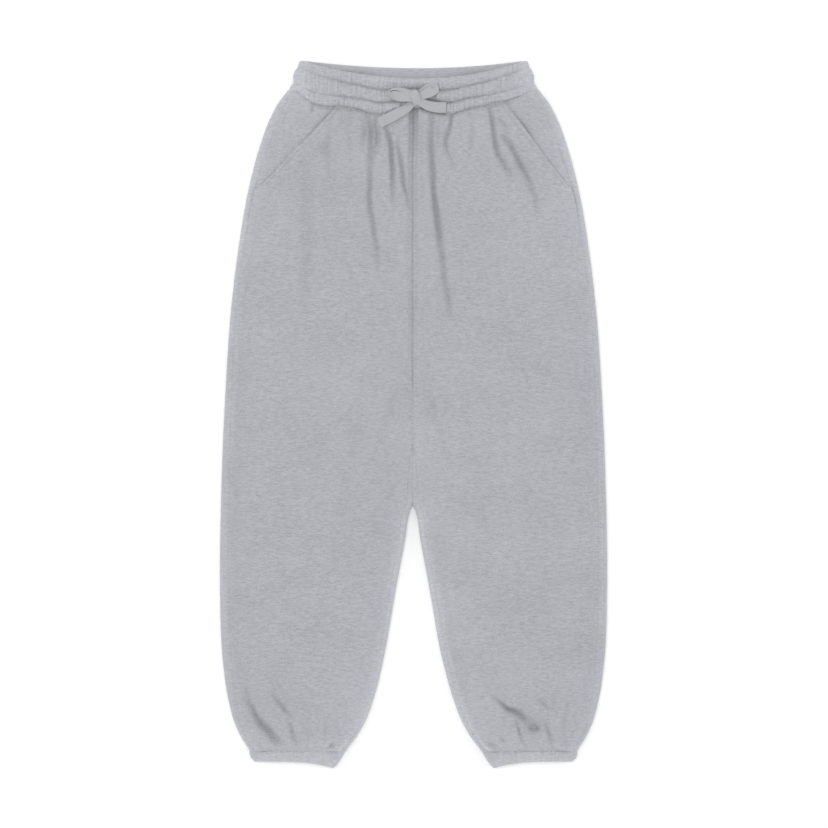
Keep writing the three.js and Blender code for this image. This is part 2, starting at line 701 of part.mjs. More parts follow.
for (const [word, side] of [["left", -1], ["right", 1]]) {
  addPiece(`front_${word}`, panelGeometry(side, LEVELS, frontLevel), FLEECE);
  addPiece(`back_${word}`, panelGeometry(side, LEVELS, backLevel), FLEECE);
  addPiece(`pocket_facing_${word}`, panelGeometry(side, POCKET_LEVELS, facingLevel), FLEECE);
  addPiece(`cuff_${word}`, cuffGeometry(side), CASING);
}
addPiece("waistband", waistbandGeometry(), CASING);
addPiece("drawstring_knot", knotGeometry(), TAPE);
addPiece("drawstring_loop_left", tapeGeometry(LOOP_LEFT, LOOP_WIDTH, LOOP_STEPS), TAPE);
addPiece("drawstring_loop_right", tapeGeometry(LOOP_RIGHT, LOOP_WIDTH, LOOP_STEPS), TAPE);
addPiece("drawstring_tail_left", tapeGeometry(TAIL_LEFT, TAPE_WIDTH, TAIL_STEPS), TAPE);
addPiece("drawstring_tail_right", tapeGeometry(TAIL_RIGHT, TAPE_WIDTH, TAIL_STEPS), TAPE);

export default sweatpants;
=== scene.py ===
"""Jogger sweatpants of heather grey fleece, laid flat with the front up, with a tied drawstring."""

import math
import random

import bmesh
import bpy
import numpy as np
from bpy.props import FloatProperty, FloatVectorProperty, IntProperty, PointerProperty
from mathutils import Matrix, Vector


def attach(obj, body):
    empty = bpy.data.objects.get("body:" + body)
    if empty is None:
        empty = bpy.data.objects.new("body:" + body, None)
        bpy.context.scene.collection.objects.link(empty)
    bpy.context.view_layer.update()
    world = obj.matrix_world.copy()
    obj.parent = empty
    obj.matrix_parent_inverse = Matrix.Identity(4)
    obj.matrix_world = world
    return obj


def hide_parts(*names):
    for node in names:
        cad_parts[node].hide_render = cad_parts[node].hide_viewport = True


bl_info = {
    "name": "Jogger Sweatpants",
    "version": (1, 0, 0),
    "blender": (4, 5, 0),
    "location": "View3D > Sidebar > Joggers",
    "description": "Builds fleece joggers laid flat, with gathered waistband, cuffs and a tied tape",
    "category": "Object",
}

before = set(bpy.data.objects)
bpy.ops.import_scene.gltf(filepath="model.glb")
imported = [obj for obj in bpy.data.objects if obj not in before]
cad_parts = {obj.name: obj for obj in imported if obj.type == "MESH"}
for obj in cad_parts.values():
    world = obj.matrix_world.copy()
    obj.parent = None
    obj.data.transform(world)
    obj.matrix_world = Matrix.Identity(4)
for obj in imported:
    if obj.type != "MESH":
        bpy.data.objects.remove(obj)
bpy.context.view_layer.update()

# Every size below is in millimetres, and MM takes it to Blender's metres
MM = 0.001

# Levels along the garment
TOP_Y = 500.0
WAIST_SEAM_Y = 455.0
WAIST_HALF = 179.0
POCKET_END_Y = 319.0
CROTCH_Y = 20.0
LEGS_PART_Y = -126.0
CUFF_SEAM_Y = -473.0
CUFF_OUTER_Y = -491.5
CUFF_INNER_Y = -500.0

# Rounded folds of the cloth and the layers that lie on each other
EDGE_RADIUS = 5.5
EDGE_SOFT = 26.0
LAYER_GAP = 0.4
UNDERLAP = 13.0
FACING_GAP = 0.8
FACING_FADE = 70.0
# A pocket's edge rolls down onto the facing, and gapes at one level
POCKET_ROLL = 1.5
# Below these levels a pocket's edge lies pressed into its facing, on the left and on the right
POCKET_FLAT = {-1: 396, 1: 336}
POCKET_GAPES = {-1: {"y": 408, "reach": 18, "sink": 0.8}, 1: {"y": 403, "reach": 15, "sink": 1.1}}
SEAM_LAP = 2.5
LAP_SINK = 2.6
LAP_DRAW_IN = 1.2
SEAM_SINK = 0.3
TOPSTITCH_IN = 6.5
# Painted highlight along the folded edges: how far in from an edge it reaches and how much it lightens the
# colour; then how much painted shade darkens the colour
PALE_REACH = 11.0
PALE_LIFT = 0.21
PAINTED_SHADE_DROP = 0.2
SEAM_HALF_GAP = 0.0
# How far the two legs press into each other where they touch, and the fronts at their seam
LEG_PRESS, SEAM_PRESS = 2.0, 0.3
# The centre of the garment lies this far to the left, fading towards the waist and the ankles
CENTRE_LEAN = 1.2
TUCK = 2.0
TUCK_SINK = 1.2
UNDERSIDE = 0.05
# Stitches: from one to the next, and the length and width of each that shows
STITCH_PITCH, STITCH_LENGTH, STITCH_WIDTH = 3.6, 2.6, 0.7
WAIST_STITCH_END = 150.0

# How the waistband's seam and its top edge sink from the sides to the centre
WAIST_DIP_FRONT, WAIST_DIP_BACK = 33.0, 14.0
TOP_DIP_FRONT, TOP_DIP_BACK = 27.0, 11.8
TOP_DIP_CENTRE = 6.0

# The front's seam sags on both sides of the bow, which holds its middle up: the share of the way
# from the centre to the side, and the share of the full dip there
SAG = {
    "out": [0, 0.11, 0.29, 0.37, 0.44, 0.52, 0.61, 0.75, 0.85, 0.92, 1],
    "left": [0.68, 0.82, 1, 0.88, 0.79, 0.75, 0.69, 0.58, 0.33, 0.12, 0],
    "right": [0.68, 0.82, 1, 0.87, 0.755, 0.66, 0.6, 0.36, 0.18, 0.09, 0],
}

# Half widths of the outline, and how far in from it the side seam lies on the front face
SIDE = {
    "y": [455, 441, 418, 373, 316, 232, 147, 20, -126, -246, -348, -404, -438, -460, -473],
    "outline": [
        179, 190, 202.4, 218.7, 233.3, 247.7, 257.7, 266.3, 272, 273.3, 269.4, 261.4, 252, 241.4, 233,
    ],
    "seam_in": [8, 12, 15, 13, 9.5, 8.5, 7.5, 9.5, 12, 12.8, 13, 10.6, 8.5, 7.5, 7.5],
}

# Inner edge of a leg, measured from the centre, and how far in from it the inseam lies
INSIDE = {
    "y": [20, -23, -79, -126, -134, -178, -246, -348, -404, -438, -460, -473],
    "outline": [0, 0, 0, 0, 3.5, 11.3, 24, 42.4, 57.2, 70.6, 84, 94],
    "seam_in": [0, 3.1, 7.4, 10, 9.8, 8.8, 8, 7.6, 7, 6.8, 6.6, 6.5],
}

# Pocket openings, measured from the centre
POCKET = {
    "y": [455, 428, 400, 355, 319],
    "left": [110, 131, 149.5, 184, 219],
    "right": [127, 143.5, 161, 192, 221.5],
}

# Side outline of the waistband from its seam to its top edge
BAND_SIDE = {
    "share": [0, 0.21, 0.37, 0.53, 0.69, 0.85, 1],
    "half": [176.5, 171.8, 168.6, 168.8, 166.5, 162.6, 159.6],
}

# Outer and inner ends of a cuff from its seam to its free edge, measured from the centre
CUFF_ROWS = {
    "share": [0, 0.22, 0.6, 0.88, 1],
    "outer": [232.3, 231.5, 230.5, 228.5, 226.5],
    "inner": [94.5, 98, 104, 109, 112],
}


def ease(t):
    """Rises smoothly from 0 to 1."""
    t = np.clip(t, 0.0, 1.0)
    return t * t * (3 - 2 * t)


def mix(a, b, t):
    return a + (b - a) * t


def read(table, key, column, level):
    """Smooth curve through one column of a table, read at levels of its key column."""
    keys, values = np.array(table[key], float), np.array(table[column], float)
    if keys[0] > keys[-1]:
        keys, values = keys[::-1], values[::-1]
    slopes = np.gradient(values, keys)
    level = np.clip(np.asarray(level, float), keys[0], keys[-1])
    nxt = np.clip(np.searchsorted(keys, level), 1, len(keys) - 1)
    span = keys[nxt] - keys[nxt - 1]
    t = (level - keys[nxt - 1]) / span
    a, b = values[nxt - 1], values[nxt]
    return (
        (2 * t**3 - 3 * t**2 + 1) * a
        + (t**3 - 2 * t**2 + t) * span * slopes[nxt - 1]
        + (3 * t**2 - 2 * t**3) * b
        + (t**3 - t**2) * span * slopes[nxt]
    )


def hash_noise(ix, iy, seed):
    """The same number from -1 to 1 for the same cell each time."""
    wave = np.sin(ix * 127.1 + iy * 311.7 + seed * 74.7) * 43758.5453
    return 2 * (wave - np.floor(wave)) - 1


def soft_noise(x, y, size, seed):
    """Smooth waves of about the given size, from -1 to 1."""
    x, y = np.asarray(x) / size, np.asarray(y) / size
    ix, iy = np.floor(x), np.floor(y)
    tx, ty = ease(x - ix), ease(y - iy)
    low = mix(hash_noise(ix, iy, seed), hash_noise(ix + 1, iy, seed), tx)
    high = mix(hash_noise(ix, iy + 1, seed), hash_noise(ix + 1, iy + 1, seed), tx)
    return mix(low, high, ty)


# Creases of the front. Each is a soft welt with a line pressed into it: its route in millimetres
# as the front is seen, the width and height of the welt, and the depth of the line. grows is the
# line's strength at its start and end, and peak the share of its way where it is deepest.
# Each crease's pressed line is also darkened with painted shade.
CREASES = [
    # left of the centre, under the waistband
    {"route": [(-66, 428), (-60, 400), (-61, 362)], "width": 12, "rise": 1.6, "line": 2.8},
    {"route": [(-71, 424), (-69, 398), (-73, 374)], "width": 9, "rise": 0.9, "line": 1.5},
    {"route": [(-54, 420), (-50, 396), (-53, 368)], "width": 10, "rise": 1.0, "line": 2.6},
    {"route": [(-1, 424), (-1, 398), (-2, 374)], "width": 5, "rise": 0.2, "line": 1.4, "peak": 0.3},
    {"route": [(0, 440), (-1, 290), (-1, 80), (0, -92)], "width": 3, "rise": 0.2, "line": 1.3},
    {
        "route": [(-57, 374), (-61, 340), (-63, 305), (-58, 277), (-52, 238), (-48, 205)],
        "width": 13, "rise": 2.2, "line": 2.5,
    },
    {"route": [(-41, 414), (-33, 380), (-29, 345), (-29, 300)], "width": 10, "rise": 1.9, "line": 2.9},
    {"route": [(-22, 388), (-15, 340), (-10, 312), (-4, 288)], "width": 7, "rise": 1.2, "line": 2.4},
    {"route": [(-52, 272), (-33, 255)], "width": 6, "rise": 0.8, "line": 1.0},
    {"route": [(-140, 440), (-144, 424)], "width": 7, "rise": 1.2, "line": 1.8},
    {"route": [(-112, 432), (-122, 372), (-118, 330)], "width": 14, "rise": 1.5, "line": 0.9},
    {"route": [(-153, 380), (-150, 260), (-153, 120)], "width": 30, "rise": 1.4, "line": 1.0},
    {"route": [(-88, 430), (-92, 398), (-90, 360)], "width": 9, "rise": 1.0, "line": 0.7},
    # right of the centre, under the waistband
    {"route": [(27, 424), (24, 392), (26, 357), (30, 312), (37, 250)], "width": 13, "rise": 2.3, "line": 2.9},
    {"route": [(31, 305), (36, 262), (42, 215), (47, 178), (54, 134)], "width": 12, "rise": 2.0, "line": 2.6},
    {"route": [(10, 428), (11, 380), (14, 316)], "width": 8, "rise": 0.6, "line": 0.8},
    {"route": [(33, 411), (35, 378)], "width": 5, "rise": 0.8, "line": 1.2},
    {
        "route": [(57, 428), (49, 400), (44, 386), (57, 345)],
        "width": 8, "rise": 1.5, "line": 2.2, "peak": 0.3,
    },
    {
        "route": [(102, 440), (111, 416), (115, 391), (121, 363), (139, 330)],
        "width": 12, "rise": 2.0, "line": 2.7,
    },
    {"route": [(118, 417), (133, 400)], "width": 6, "rise": 1.0, "line": 1.4},
    {
        "route": [(124, 396), (137, 377), (148, 358), (160, 336), (171, 305), (177, 281)],
        "width": 14, "rise": 1.8, "line": 2.4, "peak": 0.35,
    },
    {"route": [(78, 432), (82, 400), (80, 366)], "width": 9, "rise": 1.3, "line": 1.1},
    {"route": [(110, 250), (128, 160), (140, 60)], "width": 24, "rise": 1.3, "line": 0.3},
    # down the legs, broad and faint
    {"route": [(-120, 60), (-138, -80), (-150, -240)], "width": 24, "rise": 1.5, "line": 0.3},
    {"route": [(-70, 60), (-92, -90), (-118, -240)], "width": 20, "rise": 1.1, "line": 0.4},
    {"route": [(150, 20), (160, -90), (168, -220)], "width": 24, "rise": 1.5, "line": 0.3},
    {"route": [(66, 70), (84, -60), (104, -190)], "width": 19, "rise": 1.1, "line": 0.4},
    {"route": [(16, 60), (30, 0), (52, -70)], "width": 12, "rise": 1.2, "line": 0.8},
    {"route": [(-16, 64), (-32, 6), (-56, -62)], "width": 12, "rise": 1.1, "line": 0.8},
    # above the left cuff
    {
        "route": [(-241, -382), (-234, -401), (-214, -438), (-200, -452), (-188, -464)],
        "width": 13, "rise": 2.4, "line": 3.2, "grows": (0.6, 1.5), "peak": 0.68,
    },
    {
        "route": [(-200, -394), (-190, -408), (-180, -418), (-172, -428)],
        "width": 11, "rise": 1.8, "line": 2.1,
    },
    {
        "route": [(-175, -430), (-171, -446), (-163, -466)],
        "width": 7, "rise": 1.2, "line": 1.7, "peak": 0.45,
    },
    {"route": [(-211, -371), (-196, -378), (-181, -384)], "width": 12, "rise": 1.3, "line": 0.7},
    {"route": [(-158, -435), (-150, -446), (-142, -458)], "width": 9, "rise": 1.5, "line": 1.0},
    {"route": [(-122, -424), (-126, -464)], "width": 4, "rise": 0.8, "line": 0.7},
    {"route": [(-123, -474), (-111, -465)], "width": 3, "rise": 0.7, "line": 1.5},
    {"route": [(-100, -400), (-106, -432), (-108, -464)], "width": 10, "rise": 1.2, "line": 0.6},
    # above the right cuff
    {
        "route": [(112, -398), (121, -406), (134, -417), (149, -422), (161, -433)],
        "width": 13, "rise": 2.4, "line": 3.6, "grows": (0.7, 1.3), "peak": 0.6,
    },
    {"route": [(143, -426), (149, -445), (158, -466)], "width": 3, "rise": 1.0, "line": 1.5},
    {"route": [(165, -444), (176, -444)], "width": 7, "rise": 0.5, "line": 3.2},
    {"route": [(179, -400), (187, -412), (195, -415)], "width": 7, "rise": 1.3, "line": 1.5},
    {"route": [(183, -434), (189, -449), (194, -470)], "width": 7, "rise": 1.6, "line": 1.8},
    {"route": [(201, -389), (197, -426)], "width": 10, "rise": 1.1, "line": 0.6},
    {"route": [(104, -462), (122, -474)], "width": 6, "rise": 1.0, "line": 1.5},
    {"route": [(121, -454), (130, -464)], "width": 6, "rise": 1.0, "line": 1.2},
    {"route": [(218, -404), (212, -440), (214, -466)], "width": 9, "rise": 1.3, "line": 0.9},
]

# Dents pressed into the front, each also darkened with painted shade; the broad one on the left thigh is
# little more than painted shade: place, radius and depth in millimetres
DENTS = [
    {"x": -126, "y": 372, "radius": 13, "depth": 1.1},
    {"x": 169, "y": -442, "radius": 8.5, "depth": 3.6},
    {"x": -154, "y": 414, "radius": 12, "depth": 0.9},
    {"x": -64, "y": 395, "radius": 12, "depth": 1.4},
    {"x": -140, "y": 230, "radius": 75, "depth": 0.5},
    {"x": -3, "y": 420, "radius": 6, "depth": 1.6},
    {"x": 152, "y": 352, "radius": 12, "depth": 1.0},
]


def along_route(route, x, y):
    """Signed distance from a route and the share of it that lies before the nearest point."""
    points = np.array(route, float)
    lengths = np.hypot(*(points[1:] - points[:-1]).T)
    total, before = lengths.sum(), 0.0
    best = np.full(np.shape(x), 1e9)
    signed, share = np.zeros(np.shape(x)), np.zeros(np.shape(x))
    for a, b, length in zip(points[:-1], points[1:], lengths):
        dx, dy = (b - a) / length
        s = np.clip((x - a[0]) * dx + (y - a[1]) * dy, 0, length)
        ox, oy = x - a[0] - s * dx, y - a[1] - s * dy
        gap = np.hypot(ox, oy)
        near = gap < best
        best = np.where(near, gap, best)
        signed = np.where(near, np.copysign(gap, ox * dy - oy * dx), signed)
        share = np.where(near, (before + s) / total, share)
        before += length
    return signed, share


def creases_at(x, y):
    """Height of all creases and dents at points of the front, and how much painted shade each point gets in
    their pressed lines and dents.
    """
    height, painted_shade = np.zeros(np.shape(x)), np.zeros(np.shape(x))
    for number, crease in enumerate(CREASES):
        xs = [p[0] for p in crease["route"]]
        ys = [p[1] for p in crease["route"]]
        reach = 3 * crease["width"]
        near = (x > min(xs) - reach) & (x < max(xs) + reach)
        near &= (y > min(ys) - reach) & (y < max(ys) + reach)
        if not near.any():
            continue
        wander = 1.4 * soft_noise(x[near], y[near], 17, number)
        gap, share = along_route(crease["route"], x[near] + wander, y[near] + wander)
        sooner = share ** (math.log(0.5) / math.log(crease.get("peak", 0.5)))
        fade = np.sin(math.pi * np.clip(0.06 + 0.88 * sooner, 0, 1)) ** 0.7
        start, end = crease.get("grows", (1, 1))
        growth = mix(start, end, share)
        beyond = np.exp(-((np.abs(gap) / crease["width"]) ** 2))
        line_width = (2.0 + 0.2 * crease["width"]) * growth
        side = 1 if number % 2 else -1
        welt = crease["rise"] * np.exp(-(((gap - side * 2.2) / crease["width"]) ** 2))
        pressed = crease["line"] * np.exp(-((gap / line_width) ** 2)) * (0.75 + 0.25 * beyond)
        height[near] += fade * (welt * 1.4 - 2.2 * pressed * growth)
        # painted shade along the crease's pressed line
        painted_shade[near] += fade * growth * pressed / 3.3
    for dent in DENTS:
        gap = np.hypot(x - dent["x"], y - dent["y"]) / dent["radius"]
        pressed = dent["depth"] * np.exp(-(gap**2))
        height -= 1.5 * pressed
        # painted shade in the dent
        painted_shade += pressed / 4
    return height, painted_shade


def gather_set(start, end, pitch, seed):
    """Places of the sharp valleys between gathers, unevenly spaced."""
    picks = random.Random(seed)
    places = [start]
    while places[-1] < end:
        places.append(places[-1] + pitch * picks.uniform(0.55, 1.5))
    return np.array(places)


def puffs(valleys, x, seed):
    """Rounded gathers between the valleys, from 0 in a valley to about 1 on a ridge."""
    nxt = np.clip(np.searchsorted(valleys, x), 1, len(valleys) - 1)
    width = valleys[nxt] - valleys[nxt - 1]
    t = np.clip((x - valleys[nxt - 1]) / width, 0, 1)
    strength = (0.65 + 0.5 * hash_noise(nxt, nxt * 0.5, seed)) * np.clip(width / 6, 0.4, 1.15)
    return strength * np.sin(math.pi * t) ** 0.75


def puckers(x, distance, spots):
    """Short gathers that run down from a seam: x across, distance from the seam."""
    height = np.zeros(np.shape(x))
    for spot in spots:
        gap = (x - spot["x"] - spot["slant"] * distance) / (spot["width"] * (1 + distance / 60))
        height += spot["height"] * np.exp(-(gap**2)) * np.exp(-distance / spot["length"])
    return height


def pucker_spots(start, end, pitch, lengths, seed, fan):
    """Chooses puckers from start to end. fan is how far they lean outwards at the ends."""
    picks = random.Random(seed)
    spots, x = [], start
    while x < end:
        lean = fan * (2 * (x - start) / (end - start) - 1)
        long_one = picks.random() < 0.22
        spots.append({
            "x": x,
            "slant": lean + picks.uniform(-0.12, 0.12),
            "width": picks.uniform(1.5, 2.6) * (1.5 if long_one else 1),
            "height": picks.uniform(0.8, 1.9),
            "length": lengths * picks.uniform(0.4, 1) * (2.6 if long_one else 1),
        })
        x += pitch * picks.uniform(0.6, 1.5)
    return spots


WAIST_PUCKERS = {
    -1: pucker_spots(-176, -4, 6.2, 15, 41, 0.18),
    1: pucker_spots(4, 176, 6.2, 15, 52, 0.18),
}
ANKLE_PUCKERS = {
    -1: pucker_spots(-230, -98, 6.5, 12, 63, -0.2),
    1: pucker_spots(98, 230, 6.5, 12, 74, -0.2),
}


def waist_sag(x, share):
    """How far the waistband seam sinks at x: share is 0 on the back and 1 on the front."""
    out = np.clip(np.abs(x) / WAIST_HALF, 0, 1)
    sag = np.where(x < 0, read(SAG, "out", "left", out), read(SAG, "out", "right", out))
    return mix(WAIST_DIP_BACK * (1 - out**2), WAIST_DIP_FRONT * sag, share)


def seam_dip(across, y, share):
    """How far a level of the panels sinks where it follows the waistband seam."""
    return ease((y - 260) / (WAIST_SEAM_Y - 260)) * waist_sag(across, share)


def front_share(z, cloth):
    """0 for what lies underneath and 1 for what lies on top."""
    return ease((z - cloth / 2) / (2 * EDGE_RADIUS - cloth))


class Station:
    """What the cloth of one side does at one level. side is -1 on the left and 1 on the right."""

    def __init__(self, side, y, cloth):
        self.side, self.y, self.cloth = side, y, cloth
        self.beyond = max(y - WAIST_SEAM_Y, CUFF_SEAM_Y - y)
        self.lap = float(ease(self.beyond / SEAM_LAP))
        drawn_in = LAP_DRAW_IN * self.lap
        self.flat_top = 2 * cloth + LAYER_GAP
        self.outline = float(read(SIDE, "y", "outline", y)) - drawn_in
        self.side_seam = self.outline - float(read(SIDE, "y", "seam_in", y))
        leg_y = min(y, CROTCH_Y)
        touching = float(ease((y - LEGS_PART_Y + 8) / 16))
        pressed = touching * mix(LEG_PRESS, SEAM_PRESS, float(ease((y - CROTCH_Y + 20) / 60)))
        self.inside = max(0.0, float(read(INSIDE, "y", "outline", leg_y)) - 0.5) - pressed
        inseam_in = max(0.0, float(read(INSIDE, "y", "seam_in", leg_y)))
        self.is_body = y >= CROTCH_Y
        if not self.is_body:
            self.inside += drawn_in
        rise = y - CROTCH_Y
        quarter = math.pi / 2
        climb = math.acos(1 - min(1.0, inseam_in / EDGE_RADIUS))
        if self.is_body:
            self.front_turn = mix(quarter, 0.75, float(ease(rise / 60)))
            self.back_turn = quarter * (1 - float(ease(rise / 75)))
            front_sine, back_sine = math.sin(self.front_turn), math.sin(self.back_turn)
        else:
            self.front_turn, self.back_turn = quarter - climb, quarter + climb
            front_sine = back_sine = 1.0
        self.front_crest = self.inside + EDGE_RADIUS * front_sine
        self.back_crest = self.inside + EDGE_RADIUS * back_sine
        squared = float(ease((80 - y) / 60)) * float(ease((y - LEGS_PART_Y - 4) / 40))
        self.squareness = mix(1.0, 0.35, squared)
        slope = float(ease(rise / 220)) if self.is_body else 0.0
        self.crest_top = mix(2 * EDGE_RADIUS, self.flat_top + 1.8, slope)
        self.inseam = self.inside + inseam_in
        pocket = float(read(POCKET, "y", "left" if side < 0 else "right", y))
        self.has_pocket = y > POCKET_END_Y
        self.front_edge = min(pocket, self.side_seam) if self.has_pocket else self.side_seam

    def dip(self, across):
        return seam_dip(self.side * across, self.y, 1.0)

    def top(self, across):
        """Height of the upper face of the front, or of a pocket facing."""
        from_outer = self.outline - EDGE_RADIUS - across
        from_inner = across - self.front_crest
        outer_roll = (2 * EDGE_RADIUS - self.flat_top) * (1 - ease(from_outer / EDGE_SOFT))
        inner_roll = (self.crest_top - self.flat_top) * (1 - ease(from_inner / EDGE_SOFT))
        mask = ease(from_outer / 12) * ease(from_inner / (5 if self.is_body else 9))
        x, y = self.side * across, self.y - self.dip(across)
        below_seam = WAIST_SEAM_Y - self.y
        above_cuff = self.y - CUFF_SEAM_Y
        loft = 2.0 + 4.6 * math.exp(-below_seam / 120) + 4.4 * math.exp(-above_cuff / 70)
        loft = loft + 0.8 * soft_noise(x, y, 70, 5)
        folds = loft + creases_at(x, y)[0] + 0.16 * soft_noise(x, y, 11, 8)
        pinch = ease(from_outer / 4 + 0.4) * ease(from_inner / 4 + 0.4)
        if below_seam < 120:
            folds = folds + puckers(x, below_seam, WAIST_PUCKERS[self.side])
        if above_cuff < 90:
            folds = folds + pinch * puckers(x, above_cuff, ANKLE_PUCKERS[self.side])
        soft = 0.6
        folds = soft * np.logaddexp(0, folds / soft)
        sunk = LAP_SINK * float(ease((self.beyond + 2) / (SEAM_LAP + 2)))
        return self.flat_top + outer_roll + inner_roll + mask * (folds - sunk)

    def centre_lean(self, across):
        """How far a point is drawn sideways, because the garment's centre lies off its middle."""
        along = ease((430 - self.y) / 90) * ease((self.y + 420) / 110)
        return -CENTRE_LEAN * along * (1 - ease((across - self.inside) / 80))

    def gaping(self):
        """1 at the level where the pocket's edge stands off the facing, 0 away from it."""
        gape = POCKET_GAPES[self.side]
        return math.exp(-(((self.y - self.dip(self.front_edge) - gape["y"]) / gape["reach"]) ** 2))

    def facing_lift(self, across):
        """The front stands higher where it lies over a pocket facing, most where it gapes."""
        beyond = self.front_edge - across - UNDERLAP - 3
        ended = float(ease((POCKET_END_Y - self.y) / FACING_FADE))
        lift = (self.cloth + FACING_GAP) * (1 - ease(beyond / 18)) * (1 - ended)
        if self.side > 0:
            lift = lift + 1.2 * self.gaping() * np.exp(-((self.front_edge - across) / 12))
        return lift

    def seam_groove(self, across, place):
        """Dips the cloth into a seam that lies at a place across."""
        return -SEAM_SINK * np.exp(-(((across - place) / 1.7) ** 2))

    def pale(self, across, z):
        """How much painted highlight the cloth gets: most along the folded edges of the outline, with broad
        lighter areas above the cuffs, on the inner legs and below the waistband's sides.
        """
        hip = float(ease((self.y - 130) / 120))
        outer = (0.5 + 0.6 * hip) * np.exp(-(((self.outline - across) / PALE_REACH) ** 2))
        apart = float(ease((LEGS_PART_Y + 20 - self.y) / 60))
        inner = apart * np.exp(-(((across - self.inside) / PALE_REACH) ** 2))
        ankle = float(ease((-280 - self.y) / 130))
        thigh = float(ease((40 - self.y) / 130))
        # Broad painted light above the cuffs, on the inner legs (more on the right leg) and below the
        # waistband towards the sides
        broad = 0.35 * math.exp(-(self.y - CUFF_SEAM_Y) / 25)
        inner_leg = (0.22 if self.side > 0 else 0.12) * thigh + 0.15 * ankle
        broad = broad + inner_leg * np.exp(-(((across - self.inside) / 52) ** 2))
        outer = np.maximum(outer, 0.45 * hip * np.exp(-(((self.outline - across) / 36) ** 2)))
        below_band = 0.12 * math.exp(-(WAIST_SEAM_Y - self.y) / 30) * ease((across - 120) / 50)
        return np.clip(np.maximum(outer, inner) + broad + below_band, 0, 1)

    def painted_shade(self, across, z):
        """How much painted shade the front gets in its creases and dents and along the waistband seam: none
        on the underside.
        """
        x, y = self.side * across, self.y - self.dip(across)
        upper = ease((z - EDGE_RADIUS + 2) / 2)
        uneven = 1.0 + 0.5 * soft_noise(x, 0 * x, 24, 17)
        # painted shadow along the waistband seam, under the band's edge
        seam = 1.3 * uneven * np.exp(-(((self.y - WAIST_SEAM_Y) / 3.6) ** 2)) * ease((162 - across) / 30)
        marks = creases_at(x, y)[1] * ease((self.side_seam + 4 - across) / 8)
        return np.clip(marks + seam, 0, 1) * upper

    def top_run(self, start, end, lift=None, groove=None):
        steps = max(3, int(abs(end - start) / 0.8))
        across = np.linspace(start, end, steps + 1)
        z = self.top(across)
        if lift is not None:
            z = z + lift(across)
        if groove is not None:
            z = z + self.seam_groove(across, groove)
        return np.stack([across, z], axis=1)


def arc_run(centre, height, radius, start, end, power=1.0):
    """An arc as points (across, z). A power under 1 squares its corners."""
    steps = max(2, int(abs(end - start) / 0.06))
    angles = np.linspace(start, end, steps + 1)
    cosines, sines = np.cos(angles), np.sin(angles)
    wide = np.sign(cosines) * np.abs(cosines) ** power
    high = np.sign(sines) * np.abs(sines) ** power
    return np.stack([centre + radius * wide, height + radius * high], axis=1)


def spaced(path, columns, first_gap, last_gap, ends):
    """Points along a path, closer together near its ends, as the columns of a grid."""
    lengths = np.concatenate([[0], np.cumsum(np.hypot(*np.diff(path, axis=0).T))])
    total = lengths[-1] - first_gap - last_gap
    u = np.linspace(0, 1, columns)
    near = np.minimum(ends / total, 0.4)
    crowd = np.interp(u, [0, 0.16, 0.84, 1], [0, near, 1 - near, 1])
    u = mix(u, crowd, 0.8)
    where = first_gap + total * u
    return np.stack([np.interp(where, lengths, path[:, k]) for k in (0, 1)], axis=1)


def front_row(station, columns):
    crest = station.front_crest
    inner = crest if station.is_body else max(crest, station.inseam)
    groove = None if station.has_pocket else station.side_seam
    path = station.top_run(station.front_edge, inner, station.facing_lift, groove)
    if station.is_body or station.inseam < crest:
        centre = station.crest_top - EDGE_RADIUS
        stop = math.pi / 2 + station.front_turn
        arc = arc_run(crest, centre, EDGE_RADIUS, math.pi / 2, stop, station.squareness)
        path = np.concatenate([path, arc[1:]])
    else:
        path[:, 1] += station.seam_groove(path[:, 0], station.inseam)
    if station.has_pocket:
        inwards = station.front_edge - path[:, 0]
        path[:, 1] -= 0.4 * np.exp(-(((inwards - TOPSTITCH_IN) / 1.3) ** 2))
        rolled = POCKET_ROLL * (1 - station.gaping()) * np.exp(-((inwards / 2.4) ** 2))
        path[:, 1] -= rolled * mix(1.6, 1, float(ease((station.y - POCKET_FLAT[station.side]) / 22)))
    row = spaced(path, columns, SEAM_HALF_GAP, SEAM_HALF_GAP, 14)
    return row, station.y - station.dip(row[:, 0])


def back_row(station, columns):
    low = math.pi * 1.5
    start = low - station.back_turn
    power = station.squareness
    arc = arc_run(station.back_crest, EDGE_RADIUS, EDGE_RADIUS, start, low, power)
    runs = []
    if not station.is_body and station.inseam > station.back_crest:
        lead = station.top_run(station.inseam + TUCK, station.back_crest, groove=station.inseam)
        lead[:, 1] -= TUCK_SINK * ease((lead[:, 0] - station.inseam) / TUCK + 0.3)
        runs.append(lead[:-1])
    crest = station.outline - EDGE_RADIUS
    outer = arc_run(crest, EDGE_RADIUS, EDGE_RADIUS, -math.pi / 2, math.pi / 2)
    tail = station.top_run(crest, station.side_seam - TUCK, groove=station.side_seam)
    tail[:, 1] -= TUCK_SINK * ease((station.side_seam - tail[:, 0]) / TUCK + 0.3)
    path = np.concatenate([*runs, arc, outer, tail[1:]])
    row = spaced(path, columns, SEAM_HALF_GAP, SEAM_HALF_GAP, 24)
    share = front_share(row[:, 1], station.cloth)
    return row, station.y - seam_dip(station.side * row[:, 0], station.y, share)


def facing_row(station, columns):
    path = station.top_run(station.side_seam, station.front_edge - UNDERLAP, groove=station.side_seam)
    near_edge = ease((station.front_edge + 3.5 - path[:, 0]) / 4)
    path[:, 1] -= POCKET_GAPES[station.side]["sink"] * station.gaping() * near_edge
    row = spaced(path, columns, SEAM_HALF_GAP, 0, 8)
    return row, station.y - station.dip(row[:, 0])


